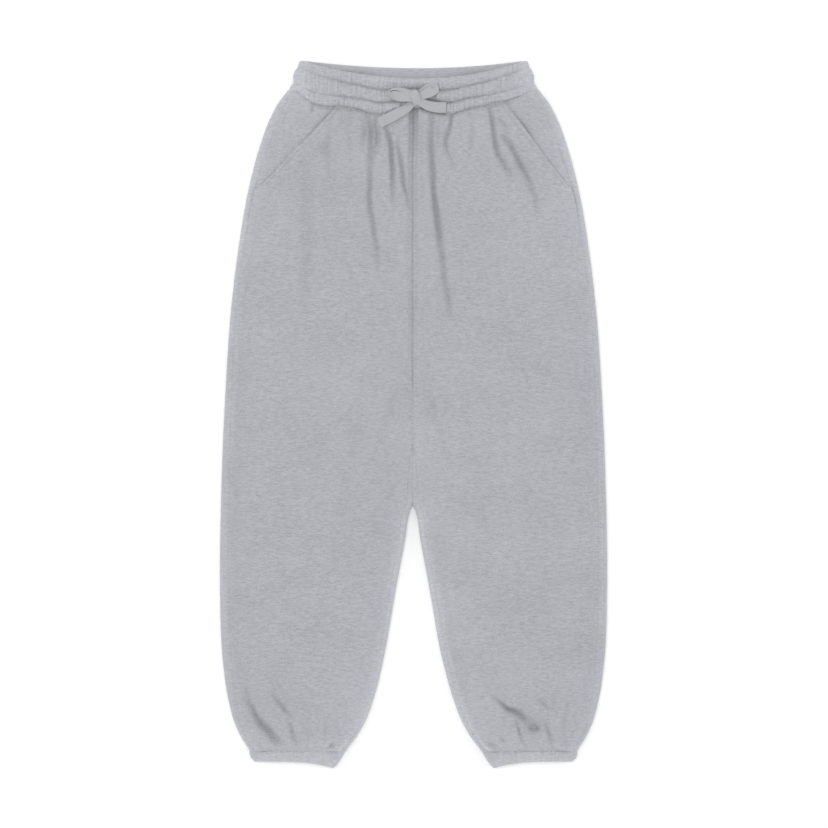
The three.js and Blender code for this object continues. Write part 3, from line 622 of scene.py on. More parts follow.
def levels(count, high, low, crowd_high, crowd_low):
    """Levels from high to low, closer together near the ends where the gathers are."""
    t = np.linspace(0, 1, count)
    near_high, near_low = crowd_high / (high - low), crowd_low / (high - low)
    t = np.interp(t, [0, 0.36, 0.7, 1], [0, near_high, 1 - near_low, 1])
    return high - t * (high - low)


def collection():
    name = "Joggers"
    made = bpy.data.collections.get(name)
    if made is None:
        made = bpy.data.collections.new(name)
        bpy.context.scene.collection.children.link(made)
    return made


def make_object(name, mesh, material):
    mesh.materials.append(material)
    for polygon in mesh.polygons:
        polygon.use_smooth = True
    obj = bpy.data.objects.new(name, mesh)
    collection().objects.link(obj)
    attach(obj, "root")
    return obj


def grid_mesh(name, points, uv, shares=None, wrapped=False):
    """A grid whose vertices are moved to points[row, column], with a UV map in metres. shares
    names the values from 0 to 1 that the material reads at each vertex."""
    rows, columns = points.shape[:2]
    bm = bmesh.new()
    bmesh.ops.create_grid(bm, x_segments=columns - 1, y_segments=rows - 1, size=0.5)
    bm.verts.ensure_lookup_table()
    places = np.array([v.co for v in bm.verts])
    column = np.rint((places[:, 0] + 0.5) * (columns - 1)).astype(int)
    row = np.rint((places[:, 1] + 0.5) * (rows - 1)).astype(int)
    moved = points[row, column] * MM
    for vertex, place in zip(bm.verts, moved.tolist()):
        vertex.co = place
    layer = bm.loops.layers.uv.new("cloth")
    flat = (uv[row, column] * MM).tolist()
    for face in bm.faces:
        for loop in face.loops:
            loop[layer].uv = flat[loop.vert.index]
    for key, values in (shares or {}).items():
        share = bm.verts.layers.float.new(key)
        for vertex, value in zip(bm.verts, values[row, column].tolist()):
            vertex[share] = value
    if wrapped:
        bmesh.ops.remove_doubles(bm, verts=bm.verts, dist=1e-6)
    mesh = bpy.data.meshes.new(name)
    bm.to_mesh(mesh)
    bm.free()
    return mesh


def face_outwards(mesh, inwards_at=None):
    """Turns a sheet's faces so that the largest share looks up, or an underside down."""
    bm = bmesh.new()
    bm.from_mesh(mesh)
    score = 0.0
    for face in bm.faces:
        centre, area = face.calc_center_median(), face.calc_area()
        high = centre.z > (inwards_at if inwards_at is not None else -1)
        score += face.normal.z * area * (1 if high else -1)
    if score < 0:
        bmesh.ops.reverse_faces(bm, faces=bm.faces)
    bm.to_mesh(mesh)
    bm.free()


def close_outwards(mesh):
    """Recalculates the faces of a closed shell so that they look out."""
    bm = bmesh.new()
    bm.from_mesh(mesh)
    bmesh.ops.recalc_face_normals(bm, faces=bm.faces)
    if bm.calc_volume(signed=True) < 0:
        bmesh.ops.reverse_faces(bm, faces=bm.faces)
    bm.to_mesh(mesh)
    bm.free()


def thicken(obj, thickness):
    wall = obj.modifiers.new("cloth", "SOLIDIFY")
    wall.thickness = thickness * MM
    wall.offset = -1
    wall.use_even_offset = False
    wall.use_rim = True
    return obj


def panel_object(name, side, row_maker, ys, columns, cloth, material, underside=False):
    rows, xs, ups, pale, painted_shade = [], [], [], [], []
    for y in ys:
        station = Station(side, float(y), cloth)
        row, along = row_maker(station, columns)
        row[:, 1] = np.maximum(row[:, 1], UNDERSIDE + 0.5 * station.lap)
        rows.append(row)
        xs.append(side * row[:, 0] + station.centre_lean(row[:, 0]))
        ups.append(along)
        # Vertex attributes for the painted highlight along the edges and the painted shade in creases and
        # seams
        pale.append(station.pale(row[:, 0], row[:, 1]))
        painted_shade.append(station.painted_shade(row[:, 0], row[:, 1]))
    points = np.stack([np.array(xs), np.array(ups), np.array(rows)[:, :, 1]], axis=2)
    shares = {"pale": np.array(pale), "painted_shade": np.array(painted_shade)}
    mesh = grid_mesh(name, points, points[:, :, :2], shares)
    face_outwards(mesh, inwards_at=2 * MM if underside else None)
    obj = make_object(name, mesh, material)
    return thicken(obj, cloth - 0.15)


# Materials


def new_material(name):
    material = bpy.data.materials.new(name)
    material.use_nodes = True
    material.node_tree.nodes.clear()
    return material


class Nodes:
    """Short ways to add and join the nodes of one material."""

    def __init__(self, material):
        self.tree = material.node_tree

    def add(self, kind, **values):
        node = self.tree.nodes.new(kind)
        for key, value in values.items():
            setattr(node, key, value)
        return node

    def join(self, source, target):
        self.tree.links.new(source, target)

    def coordinates(self):
        return self.add("ShaderNodeTexCoord").outputs["Object"]

    def stretched(self, source, scale, turn=0.0):
        mapping = self.add("ShaderNodeMapping")
        mapping.inputs["Scale"].default_value = scale
        mapping.inputs["Rotation"].default_value = (0, 0, turn)
        self.join(source, mapping.inputs["Vector"])
        return mapping.outputs["Vector"]

    def noise(self, source, scale, detail, roughness):
        node = self.add("ShaderNodeTexNoise")
        node.inputs["Scale"].default_value = scale
        node.inputs["Detail"].default_value = detail
        node.inputs["Roughness"].default_value = roughness
        self.join(source, node.inputs["Vector"])
        return node.outputs["Fac"]

    def ramp(self, source, stops):
        node = self.add("ShaderNodeValToRGB")
        elements = node.color_ramp.elements
        elements[0].position, elements[0].color = stops[0][0], (*stops[0][1], 1)
        elements[1].position, elements[1].color = stops[-1][0], (*stops[-1][1], 1)
        for position, colour in stops[1:-1]:
            elements.new(position).color = (*colour, 1)
        self.join(source, node.inputs["Fac"])
        return node.outputs["Color"]

    def mixed(self, blend, amount, first, second):
        node = self.add("ShaderNodeMix", data_type="RGBA", blend_type=blend)
        for value, socket in ((amount, 0), (first, 6), (second, 7)):
            if isinstance(value, (float, int)):
                node.inputs[socket].default_value = value
            elif isinstance(value, tuple):
                node.inputs[socket].default_value = (*value, 1)
            else:
                self.join(value, node.inputs[socket])
        return node.outputs[2]

    def sum(self, first, weight, second=None):
        node = self.add("ShaderNodeMath", operation="MULTIPLY_ADD")
        self.join(first, node.inputs[0])
        node.inputs[1].default_value = weight
        if second is None:
            node.inputs[2].default_value = 0
        else:
            self.join(second, node.inputs[2])
        return node.outputs[0]

    def bump(self, height, strength, distance):
        node = self.add("ShaderNodeBump")
        node.inputs["Strength"].default_value = strength
        node.inputs["Distance"].default_value = distance
        self.join(height, node.inputs["Height"])
        return node.outputs["Normal"]


def grey(level):
    """A cool grey like that of the heather yarn."""
    return (level * 0.985, level * 0.995, level * 1.035)


def fleece_material(name, colour, contrast, sheen):
    """Heather fleece: pale and dark fibres in short rows across, a fine knit and a soft nap, with a painted
    highlight and painted shade read from two vertex attributes.
    """
    material = new_material(name)
    n = Nodes(material)
    place = n.coordinates()
    streaks = n.noise(n.stretched(place, (130, 640, 200)), 1.0, 4, 0.65)
    flecks = n.noise(n.stretched(place, (520, 900, 600)), 1.0, 3, 0.65)
    clouds = n.noise(n.stretched(place, (9, 14, 9)), 1.0, 3, 0.5)
    fibres = n.sum(flecks, 0.45, n.sum(streaks, 0.55))
    low = tuple(c * (1 - contrast) for c in colour)
    high = tuple(c * (1 + contrast) for c in colour)
    heather = n.ramp(fibres, [(0.36, low), (0.5, colour), (0.64, high)])
    patches = n.ramp(clouds, [(0.3, grey(0.955)), (0.7, grey(1.03))])
    # Painted highlight: the pale attribute lightens the colour along the folded edges
    highlight_share = n.add("ShaderNodeAttribute", attribute_name="pale").outputs["Fac"]
    even = n.mixed("MULTIPLY", 1.0, heather, patches)
    paler = n.mixed("MULTIPLY", 1.0, even, (1 + PALE_LIFT,) * 3)
    highlighted_tone = n.mixed("MIX", highlight_share, even, paler)
    # Painted shade: the second attribute darkens the colour in creases, seams and under the waistband's edge
    pressed = n.add("ShaderNodeAttribute", attribute_name="painted_shade").outputs["Fac"]
    darker = n.mixed("MULTIPLY", 1.0, highlighted_tone, (1 - PAINTED_SHADE_DROP,) * 3)
    tone = n.mixed("MIX", pressed, highlighted_tone, darker)
    shader = n.add("ShaderNodeBsdfPrincipled")
    n.join(tone, shader.inputs["Base Color"])
    shader.inputs["Roughness"].default_value = 0.95
    shader.inputs["Specular IOR Level"].default_value = 0.12
    shader.inputs["Sheen Weight"].default_value = sheen
    shader.inputs["Sheen Roughness"].default_value = 0.5
    shader.inputs["Sheen Tint"].default_value = (0.95, 0.96, 1.0, 1)
    nap = n.noise(n.stretched(place, (520, 900, 700)), 1.0, 4, 0.7)
    tufts = n.noise(n.stretched(place, (150, 210, 180)), 1.0, 3, 0.6)
    relief = n.sum(nap, 0.6, n.sum(tufts, 0.8))
    n.join(n.bump(relief, 0.55, 0.0009), shader.inputs["Normal"])
    output = n.add("ShaderNodeOutputMaterial")
    n.join(shader.outputs[0], output.inputs["Surface"])
    return material


def tape_material(name, colour):
    """Woven cotton tape: a fine twill along the tape."""
    material = new_material(name)
    n = Nodes(material)
    uv = n.add("ShaderNodeUVMap", uv_map="cloth").outputs["UV"]
    twill = n.add("ShaderNodeTexWave", wave_type="BANDS", bands_direction="DIAGONAL")
    twill.inputs["Scale"].default_value = 260
    twill.inputs["Distortion"].default_value = 1.2
    twill.inputs["Detail"].default_value = 2
    n.join(uv, twill.inputs["Vector"])
    fibres = n.noise(n.stretched(uv, (900, 300, 300)), 1.0, 3, 0.6)
    relief = n.sum(fibres, 0.5, n.sum(twill.outputs["Fac"], 0.7))
    low, high = tuple(c * 0.9 for c in colour), tuple(c * 1.08 for c in colour)
    tone = n.ramp(relief, [(0.2, low), (0.9, high)])
    shader = n.add("ShaderNodeBsdfPrincipled")
    n.join(tone, shader.inputs["Base Color"])
    shader.inputs["Roughness"].default_value = 0.9
    shader.inputs["Specular IOR Level"].default_value = 0.15
    shader.inputs["Sheen Weight"].default_value = 0.25
    shader.inputs["Sheen Roughness"].default_value = 0.5
    n.join(n.bump(relief, 0.5, 0.0004), shader.inputs["Normal"])
    output = n.add("ShaderNodeOutputMaterial")
    n.join(shader.outputs[0], output.inputs["Surface"])
    return material


def thread_material(name, colour):
    """Sewing thread: fine twisted plies, a little lighter than the cloth."""
    material = new_material(name)
    n = Nodes(material)
    plies = n.noise(n.stretched(n.coordinates(), (2400, 900, 1800), 0.6), 1.0, 2, 0.6)
    tone = n.ramp(plies, [(0.3, tuple(c * 0.88 for c in colour)), (0.7, colour)])
    shader = n.add("ShaderNodeBsdfPrincipled")
    n.join(tone, shader.inputs["Base Color"])
    shader.inputs["Roughness"].default_value = 0.7
    shader.inputs["Specular IOR Level"].default_value = 0.25
    n.join(n.bump(plies, 0.4, 0.0002), shader.inputs["Normal"])
    output = n.add("ShaderNodeOutputMaterial")
    n.join(shader.outputs[0], output.inputs["Surface"])
    return material


def plain_material(name, colour, roughness):
    material = new_material(name)
    n = Nodes(material)
    grain = n.noise(n.coordinates(), 900.0, 3, 0.6)
    tone = n.ramp(grain, [(0.3, tuple(c * 0.96 for c in colour)), (0.7, colour)])
    shader = n.add("ShaderNodeBsdfPrincipled")
    n.join(tone, shader.inputs["Base Color"])
    shader.inputs["Roughness"].default_value = roughness
    output = n.add("ShaderNodeOutputMaterial")
    n.join(shader.outputs[0], output.inputs["Surface"])
    return material


def finish_named(name, maker, *values):
    """The material of that name, made the first time that it is asked for."""
    return bpy.data.materials.get(name) or maker(name, *values)


def fleece():
    look = bpy.context.scene.jogger_fleece
    return finish_named("heather fleece", fleece_material, tuple(look.colour), look.contrast, look.sheen)


def casing():
    look = bpy.context.scene.jogger_fleece
    colour = tuple(c * 1.015 for c in look.colour)
    return finish_named("gathered fleece", fleece_material, colour, look.contrast, look.sheen)


def thread():
    look = bpy.context.scene.jogger_fleece
    colour = tuple(c * 1.12 for c in look.colour)
    return finish_named("sewing thread", thread_material, colour)


def tape():
    look = bpy.context.scene.jogger_tape
    return finish_named("cotton tape", tape_material, tuple(look.colour))


# Settings that a user would change


class FleeceSettings(bpy.types.PropertyGroup):
    cloth: FloatProperty(
        name="Cloth", description="Thickness of one panel in millimetres", default=2.4, min=1, max=4
    )
    colour: FloatVectorProperty(
        name="Colour", description="Middle tone of the heather", subtype="COLOR",
        default=(0.358, 0.361, 0.37), min=0, max=1,
    )
    contrast: FloatProperty(
        name="Contrast", description="How far the fibres differ from the middle tone",
        default=0.2, min=0, max=1, subtype="FACTOR",
    )
    sheen: FloatProperty(
        name="Nap", description="Strength of the soft nap's sheen", default=0.35, min=0, max=1,
        subtype="FACTOR",
    )


class BandSettings(bpy.types.PropertyGroup):
    pitch: FloatProperty(
        name="Gather pitch", description="Mean distance between gathers in millimetres",
        default=4.9, min=3, max=12,
    )
    gather: FloatProperty(
        name="Gather height", description="Height of the gathers in millimetres", default=3.3,
        min=0, max=6,
    )
    channel: FloatProperty(
        name="Channel height", description="Height of the puffed channels in millimetres",
        default=14.0, min=8, max=20,
    )
    groove: FloatProperty(
        name="Row height", description="Height of the sewn rows in millimetres", default=8.4,
        min=6, max=18,
    )


class CuffSettings(bpy.types.PropertyGroup):
    pitch: FloatProperty(
        name="Gather pitch", description="Mean distance between gathers in millimetres",
        default=5.8, min=3, max=12,
    )
    height: FloatProperty(
        name="Height", description="Height of the cuff over the surface in millimetres",
        default=10.0, min=6, max=16,
    )


class TapeSettings(bpy.types.PropertyGroup):
    width: FloatProperty(
        name="Width", description="Width of the tape in millimetres", default=14.5, min=6, max=25
    )
    thickness: FloatProperty(
        name="Thickness", description="Thickness of the tape in millimetres", default=1.9,
        min=0.5, max=4,
    )
    colour: FloatVectorProperty(
        name="Colour", description="Colour of the tape", subtype="COLOR",
        default=(0.368, 0.373, 0.392), min=0, max=1,
    )


class StageSettings(bpy.types.PropertyGroup):
    floor: FloatVectorProperty(
        name="Floor", description="Colour of the surface", subtype="COLOR",
        default=(0.93, 0.93, 0.93), min=0, max=1,
    )
    key: FloatProperty(
        name="Key light", description="Power of the large soft light", default=26, min=0,
        subtype="POWER",
    )
    fill: FloatProperty(
        name="Fill", description="Strength of the even light from all round", default=0.45, min=0
    )
    height: FloatProperty(
        name="Camera height", description="Height of the camera over the surface", default=3.2,
        min=1, unit="LENGTH",
    )


# Panels


class JOGGER_OT_fronts(bpy.types.Operator):
    """Adds the left and the right front, from the waistband seam to the cuffs"""

    bl_idname = "jogger.fronts"
    bl_label = "Fronts"

    def execute(self, context):
        cloth = context.scene.jogger_fleece.cloth
        ys = levels(276, WAIST_SEAM_Y + SEAM_LAP, CUFF_SEAM_Y - SEAM_LAP, 150, 120)
        for word, side in (("left", -1), ("right", 1)):
            name = f"front_panel_{word}"
            obj = panel_object(name, side, front_row, ys, 176, cloth, fleece())
            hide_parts(f"front_{word}")
        return {"FINISHED"}


class JOGGER_OT_backs(bpy.types.Operator):
    """Adds the left and the right back, which roll round the edges onto the front"""

    bl_idname = "jogger.backs"
    bl_label = "Backs"

    def execute(self, context):
        cloth = context.scene.jogger_fleece.cloth
        ys = levels(330, WAIST_SEAM_Y + SEAM_LAP, CUFF_SEAM_Y - SEAM_LAP, 120, 110)
        for word, side in (("left", -1), ("right", 1)):
            name = f"back_panel_{word}"
            obj = panel_object(name, side, back_row, ys, 72, cloth, fleece(), underside=True)
            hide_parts(f"back_{word}")
        return {"FINISHED"}


class JOGGER_OT_pockets(bpy.types.Operator):
    """Adds the facings that show in the two pocket openings"""

    bl_idname = "jogger.pockets"
    bl_label = "Pocket facings"

    def execute(self, context):
        cloth = context.scene.jogger_fleece.cloth
        ys = np.linspace(WAIST_SEAM_Y + SEAM_LAP, POCKET_END_Y, 100)
        for word, side, area in (("left", -1, 0.0068), ("right", 1, 0.0053)):
            name = f"pocket_piece_{word}"
            obj = panel_object(name, side, facing_row, ys, 44, cloth, fleece())
            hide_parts(f"pocket_facing_{word}")
        return {"FINISHED"}


# Gathered rings


def ring_object(name, spec, material):
    """A flattened ring of casing. Each column runs from the seam over the outside, round the free
    edge and back along the plain inside."""
    across, under = spec["columns"], 40
    arc = np.linspace(0, math.pi, 13)[1:-1]
    t_top = np.linspace(0, 1, across)
    t_under = np.linspace(0, 1, under)
    outside = np.linspace(0, 1, spec["rows"])
    rim = np.linspace(0, math.pi, 9)[1:-1]
    inside = np.linspace(1, 0, 7)
    casing_depth, rounding = spec["casing"], spec["rounding"]

    def loop(v, depth):
        """One level of the ring: depth is 0 on the outside and 1 on the plain inside."""
        left, right = spec["ends"](v)
        radius = spec["radius"](v)
        low, high = left + radius, right - radius
        inner_shift = depth * (casing_depth - 1.2)
        top_x = mix(low, high, t_top)
        top_outer = spec["top"](top_x, v)
        near_end = np.minimum(top_x - low, high - top_x)
        top_outer = mix(2 * radius, top_outer, ease(near_end / 14))
        inner_top = casing_depth + spec["slot"]
        top_z = mix(top_outer, inner_top, depth)
        round_radius = mix(radius, 0.5, depth)
        middle = mix(radius, casing_depth + spec["slot"] / 2, depth)
        side_r = high - inner_shift + round_radius * np.sin(arc)
        side_z = middle + round_radius * np.cos(arc)
        puffed = spec["side_puff"](v, side_z) * (1 - depth)
        under_x = mix(high, low, t_under)
        side_l = low + inner_shift - round_radius * np.sin(arc)
        xs = np.concatenate([
            np.clip(top_x, low + inner_shift, high - inner_shift),
            side_r + puffed,
            np.clip(under_x, low + inner_shift, high - inner_shift),
            side_l - puffed,
        ])
        zs = np.concatenate([
            top_z,
            side_z,
            np.full(under, mix(UNDERSIDE, casing_depth, depth)),
            side_z[::-1],
        ])
        share = np.concatenate([
            np.ones(across),
            mix(1, 0, np.linspace(0, 1, len(arc))),
            np.zeros(under),
            np.linspace(0, 1, len(arc)),
        ])
        return xs, zs, share

    rows, pale, painted_shade = [], [], []

    def add_level(v, depth, out=0.0, nap=1.0):
        xs, zs, share = loop(v, depth)
        ys = spec["place"](xs, v, share) + out
        rows.append(np.stack([xs, ys, zs], axis=1))
        pale.append(spec["pale"](xs, v) * nap)
        painted_shade.append(np.clip(spec["painted_shade"](xs, ys, v, depth, share), 0, 1))

    for v in outside:
        add_level(v, 0.0)
    for angle in rim:
        add_level(1.0, (1 - math.cos(angle)) / 2, out=spec["sign"] * rounding * math.sin(angle))
    for v in inside:
        # The plain inside gets half the painted highlight
        add_level(v, 1.0, nap=0.5)
    for depth in (0.66, 0.33, 0.0):
        add_level(0.0, depth)
    points, pale, painted_shade = np.array(rows), np.array(pale), np.array(painted_shade)
    points = np.concatenate([points, points[:, :1]], axis=1)
    shares = {
        "pale": np.concatenate([pale, pale[:, :1]], axis=1),
        "painted_shade": np.concatenate([painted_shade, painted_shade[:, :1]], axis=1),
    }
    mesh = grid_mesh(name, points, points[:, :, :2], shares, wrapped=True)
    close_outwards(mesh)
    return make_object(name, mesh, material)


def band_rows(x):
    """Where the two sewn rows of the waistband lie, as shares of the way to its top edge."""
    bow = (np.abs(x) / 141) ** 2
    return 0.34 - 0.05 * bow, 0.665 + 0.13 * bow


def channel_profile(x, v):
    """0 on the sewn rows and 1 in the middle of a puffed channel, with the channel's number."""
    low, high = band_rows(x)
    bounds = [np.zeros_like(low) - 0.02, low, high, np.full_like(low, 1.13)]
    puff, number = np.zeros_like(low), np.zeros_like(low)
    for k in range(3):
        t = (v - bounds[k]) / (bounds[k + 1] - bounds[k])
        inside = (t >= 0) & (t <= 1)
        puff = np.where(inside, np.sin(math.pi * np.clip(t, 0, 1)) ** 0.6, puff)
        number = np.where(inside, k, number)
    return puff, number


def top_edge(x, dip):
    """The waistband's free edge, which sinks a little to the right of its middle."""
    middle = 1 - np.clip(np.abs(x) / 165, 0, 1) ** 2
    return TOP_Y - 1.5 - dip * (1 - np.clip(np.abs(x - TOP_DIP_CENTRE * middle) / 165, 0, 1) ** 2)


class BandShape:
    """The waistband's outer face: x runs across, v from the seam to the free edge."""

    def __init__(self, look):
        self.look = look
        self.gathers = [
            gather_set(-182, 182, look.pitch * stretch, 20 + number)
            for number, stretch in enumerate((1, 1.05, 0.95))
        ]

    def ends(self, v):
        half = float(read(BAND_SIDE, "share", "half", v))
        return -half, half

    def top(self, x, v):
        puff, number = channel_profile(x, v)
        wave = np.zeros_like(x)
        for k, valleys in enumerate(self.gathers):
            drift = 4.5 * (v - 0.5) * soft_noise(x, 0 * x + k, 23, 30 + k)
            wave = np.where(number == k, puffs(valleys, x + drift, 50 + k), wave)
        narrow = 0.35 + 0.65 * puff
        edge = 1 - 0.22 * ease((v - 0.88) / 0.12)
        middle = 1 - np.clip(np.abs(x) / 165, 0, 1) ** 2
        deep = (self.look.channel - self.look.groove) * (0.35 + 0.65 * middle)
        crest = self.look.channel - deep * (1 - puff) + 0.5 * soft_noise(x, 0 * x + 40 * v, 26, 9)
        broken = 0.78 + 0.3 * soft_noise(x, 0 * x + 60 * v, 9, 12)
        return (crest + self.look.gather * narrow * broken * (wave - 0.55)) * edge

    def side_puff(self, v, z):
        puff, _ = channel_profile(np.full_like(z, 150.0), v)
        return 1.4 * puff * np.sin(math.pi * np.clip(z / 11, 0, 1))

    def place(self, x, v, share):
        low = WAIST_SEAM_Y - waist_sag(x, share)
        high = top_edge(x, mix(TOP_DIP_BACK, TOP_DIP_FRONT, share))
        return mix(low + 0.2, high, v)

    def pale(self, x, v):
        # Painted highlight, strongest near the band's rounded ends
        return 0.3 + 0.7 * np.exp(-(((168 - np.abs(x)) / 34) ** 2))

    def painted_shade(self, x, y, v, depth, share):
        """Painted shade along the sewn rows and the seam, and painted shadow on the back's inside at the
        front's top edge.
        """
        low, high = band_rows(x)
        centre = 0.15 + 0.85 * (1 - np.clip(np.abs(x) / 165, 0, 1) ** 2)
        uneven = 0.8 + 0.5 * soft_noise(x, 0 * x + 9, 21, 14)
        sewn = 1.4 * (np.exp(-(((v - low) / 0.04) ** 2)) + np.exp(-(((v - high) / 0.04) ** 2)))
        seam = 1.5 * ease((150 - np.abs(x)) / 30) * math.exp(-((v / 0.06) ** 2))
        lip = top_edge(x, TOP_DIP_FRONT) + 3
        shade = depth * np.exp(-(((y - lip) / 2.6) ** 2)) * ease((118 - np.abs(x)) / 50)
        return np.where(share > 0.5, (1 - depth) * (sewn * centre + seam) * uneven, 1.2 * shade)


class JOGGER_OT_waistband(bpy.types.Operator):
    """Adds the gathered waistband with its three puffed channels"""

    bl_idname = "jogger.waistband"
    bl_label = "Waistband"

    def execute(self, context):
        shape = BandShape(context.scene.jogger_band)
        spec = {
            "columns": 430, "rows": 46, "radius": lambda v: 5.7, "casing": 5.0, "slot": 0.9,
            "rounding": 2.2, "sign": 1, "ends": shape.ends, "top": shape.top,
            "side_puff": shape.side_puff, "place": shape.place, "painted_shade": shape.painted_shade,
            "pale": shape.pale,
        }
        obj = ring_object("waistband_casing", spec, casing())
        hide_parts("waistband")
        return {"FINISHED"}


class JOGGER_OT_cuffs(bpy.types.Operator):
    """Adds the two gathered cuffs"""

    bl_idname = "jogger.cuffs"
    bl_label = "Cuffs"

    def execute(self, context):
        look = context.scene.jogger_cuff
        for word, side in (("left", -1), ("right", 1)):
            valleys = gather_set(-240, 240, look.pitch, 80 + side)

            def ends(v, side=side):
                outer = float(read(CUFF_ROWS, "share", "outer", v))
                inner = float(read(CUFF_ROWS, "share", "inner", v))
                return (-outer, -inner) if side < 0 else (inner, outer)

            def top(x, v, valleys=valleys, side=side):
                puff = np.sin(math.pi * np.clip(0.06 + 0.8 * v, 0, 1)) ** 0.6
                drift = 3 * (v - 0.5) * soft_noise(x, 0 * x, 19, 33 + side)
                wave = puffs(valleys, x + drift, 60 + side)
                row = 0.8 * np.exp(-(((v - 0.16) / 0.07) ** 2))
                height = look.height + 0.5 + 0.4 * puff - row
                return height + (0.5 + 0.7 * puff) * (wave - 0.5)

            def side_puff(v, z):
                return 0.6 * math.sin(math.pi * v) * np.sin(math.pi * np.clip(z / 9, 0, 1))

            def place(x, v, share):
                t = np.clip((np.abs(x) - mix(94.5, 112, v)) / mix(138, 115, v), 0, 1)
                low = mix(CUFF_INNER_Y + 0.6, CUFF_OUTER_Y + 2.6, 1 - (1 - t) ** 4.5)
                return mix(CUFF_SEAM_Y + 0.3, low, v)

            spec = {
                "columns": 190, "rows": 24, "radius": lambda v: 5.6 - 1.2 * float(ease(v / 0.6)),
                "casing": 4.0, "slot": 0.8, "rounding": 1.8, "ends": ends, "top": top, "side_puff": side_puff,
                "place": place, "sign": -1, "painted_shade": lambda x, y, v, depth, share: 0 * x,
                # painted highlight that grows towards the cuff's free edge
                "pale": lambda x, v: np.full_like(x, 0.35 + 0.5 * v),
            }
            obj = ring_object(f"cuff_casing_{word}", spec, casing())
            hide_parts(f"cuff_{word}")
        return {"FINISHED"}


# Stitches


def stitch_row(points, lift=0.1):
    """Places of stitches along a line of points, a little above it: middles and directions."""
    points = np.array(points, float)
    steps = np.linalg.norm(np.diff(points, axis=0), axis=1)
    lengths = np.concatenate([[0], np.cumsum(steps)])
    middles = np.arange(STITCH_PITCH / 2, lengths[-1] - STITCH_PITCH / 2, STITCH_PITCH)

    def at(where):
        return np.stack([np.interp(where, lengths, points[:, k]) for k in range(3)], axis=1)

    start, end = at(middles - STITCH_LENGTH / 2), at(middles + STITCH_LENGTH / 2)
    return (start + end) / 2 + (0, 0, lift), end - start


def stitches_object(name, rows):
    """Short rounded stitches of thread along rows of points."""
    bm = bmesh.new()
    for points in rows:
        for middle, way in zip(*stitch_row(points)):
            turn = Vector(way).to_track_quat("X", "Z").to_matrix().to_4x4()
            size = Matrix.Diagonal((STITCH_LENGTH / 2, STITCH_WIDTH / 2, STITCH_WIDTH / 2, 1))
            place = Matrix.Scale(MM, 4) @ Matrix.Translation(Vector(middle)) @ turn @ size
            bmesh.ops.create_icosphere(bm, subdivisions=2, radius=1, matrix=place)
    mesh = bpy.data.meshes.new(name)
    bm.to_mesh(mesh)
    bm.free()
    return make_object(name, mesh, thread())


def pocket_stitches(side, cloth):
    """A row along a pocket's edge, from the waistband seam to the end of the opening."""
    row = []
    for y in np.linspace(WAIST_SEAM_Y - 3, POCKET_END_Y + 4, 220):
        station = Station(side, float(y), cloth)
        across = np.array([station.front_edge - TOPSTITCH_IN])
        z = station.top(across) + station.facing_lift(across)
        x = side * across + station.centre_lean(across)
        row.append((x[0], (station.y - station.dip(across))[0], z[0] - 0.35))
    return row


class JOGGER_OT_stitches(bpy.types.Operator):
    """Adds the rows of stitches along the pockets and the front of the waistband"""

    bl_idname = "jogger.stitches"
    bl_label = "Stitches"

    def execute(self, context):
        cloth = context.scene.jogger_fleece.cloth
        for word, side in (("left", -1), ("right", 1)):
            stitches_object(f"pocket_stitches_{word}", [pocket_stitches(side, cloth)])
        across = np.linspace(-WAIST_STITCH_END, WAIST_STITCH_END, 600)
        shape = BandShape(context.scene.jogger_band)
        rows = []
        for row in band_rows(across):
            height = [float(shape.top(np.array([x]), v)[0]) for x, v in zip(across, row)]
            y = [float(shape.place(np.array([x]), v, 1.0)[0]) for x, v in zip(across, row)]
            rows.append(np.stack([across, y, height], axis=1))
        stitches_object("waistband_stitches", rows)
        return {"FINISHED"}


# Drawstring


def smooth_route(points, samples):
    """A curve through points of any number of values, evenly spaced along its length."""
    points = np.array(points, float)
    padded = np.concatenate([[2 * points[0] - points[1]], points, [2 * points[-1] - points[-2]]])
    fine = []
    for k in range(1, len(padded) - 2):
        a, b, c, d = padded[k - 1], padded[k], padded[k + 1], padded[k + 2]
        for t in np.linspace(0, 1, 16, endpoint=False):
            fine.append(0.5 * (
                2 * b + (c - a) * t + (2 * a - 5 * b + 4 * c - d) * t * t
                + (3 * b - a - 3 * c + d) * t**3
            ))
    fine.append(points[-1])
    fine = np.array(fine)
    lengths = np.concatenate([[0], np.cumsum(np.linalg.norm(np.diff(fine[:, :3], axis=0), axis=1))])
    where = np.linspace(0, lengths[-1], samples)
    return np.stack([np.interp(where, lengths, fine[:, k]) for k in range(fine.shape[1])], axis=1)


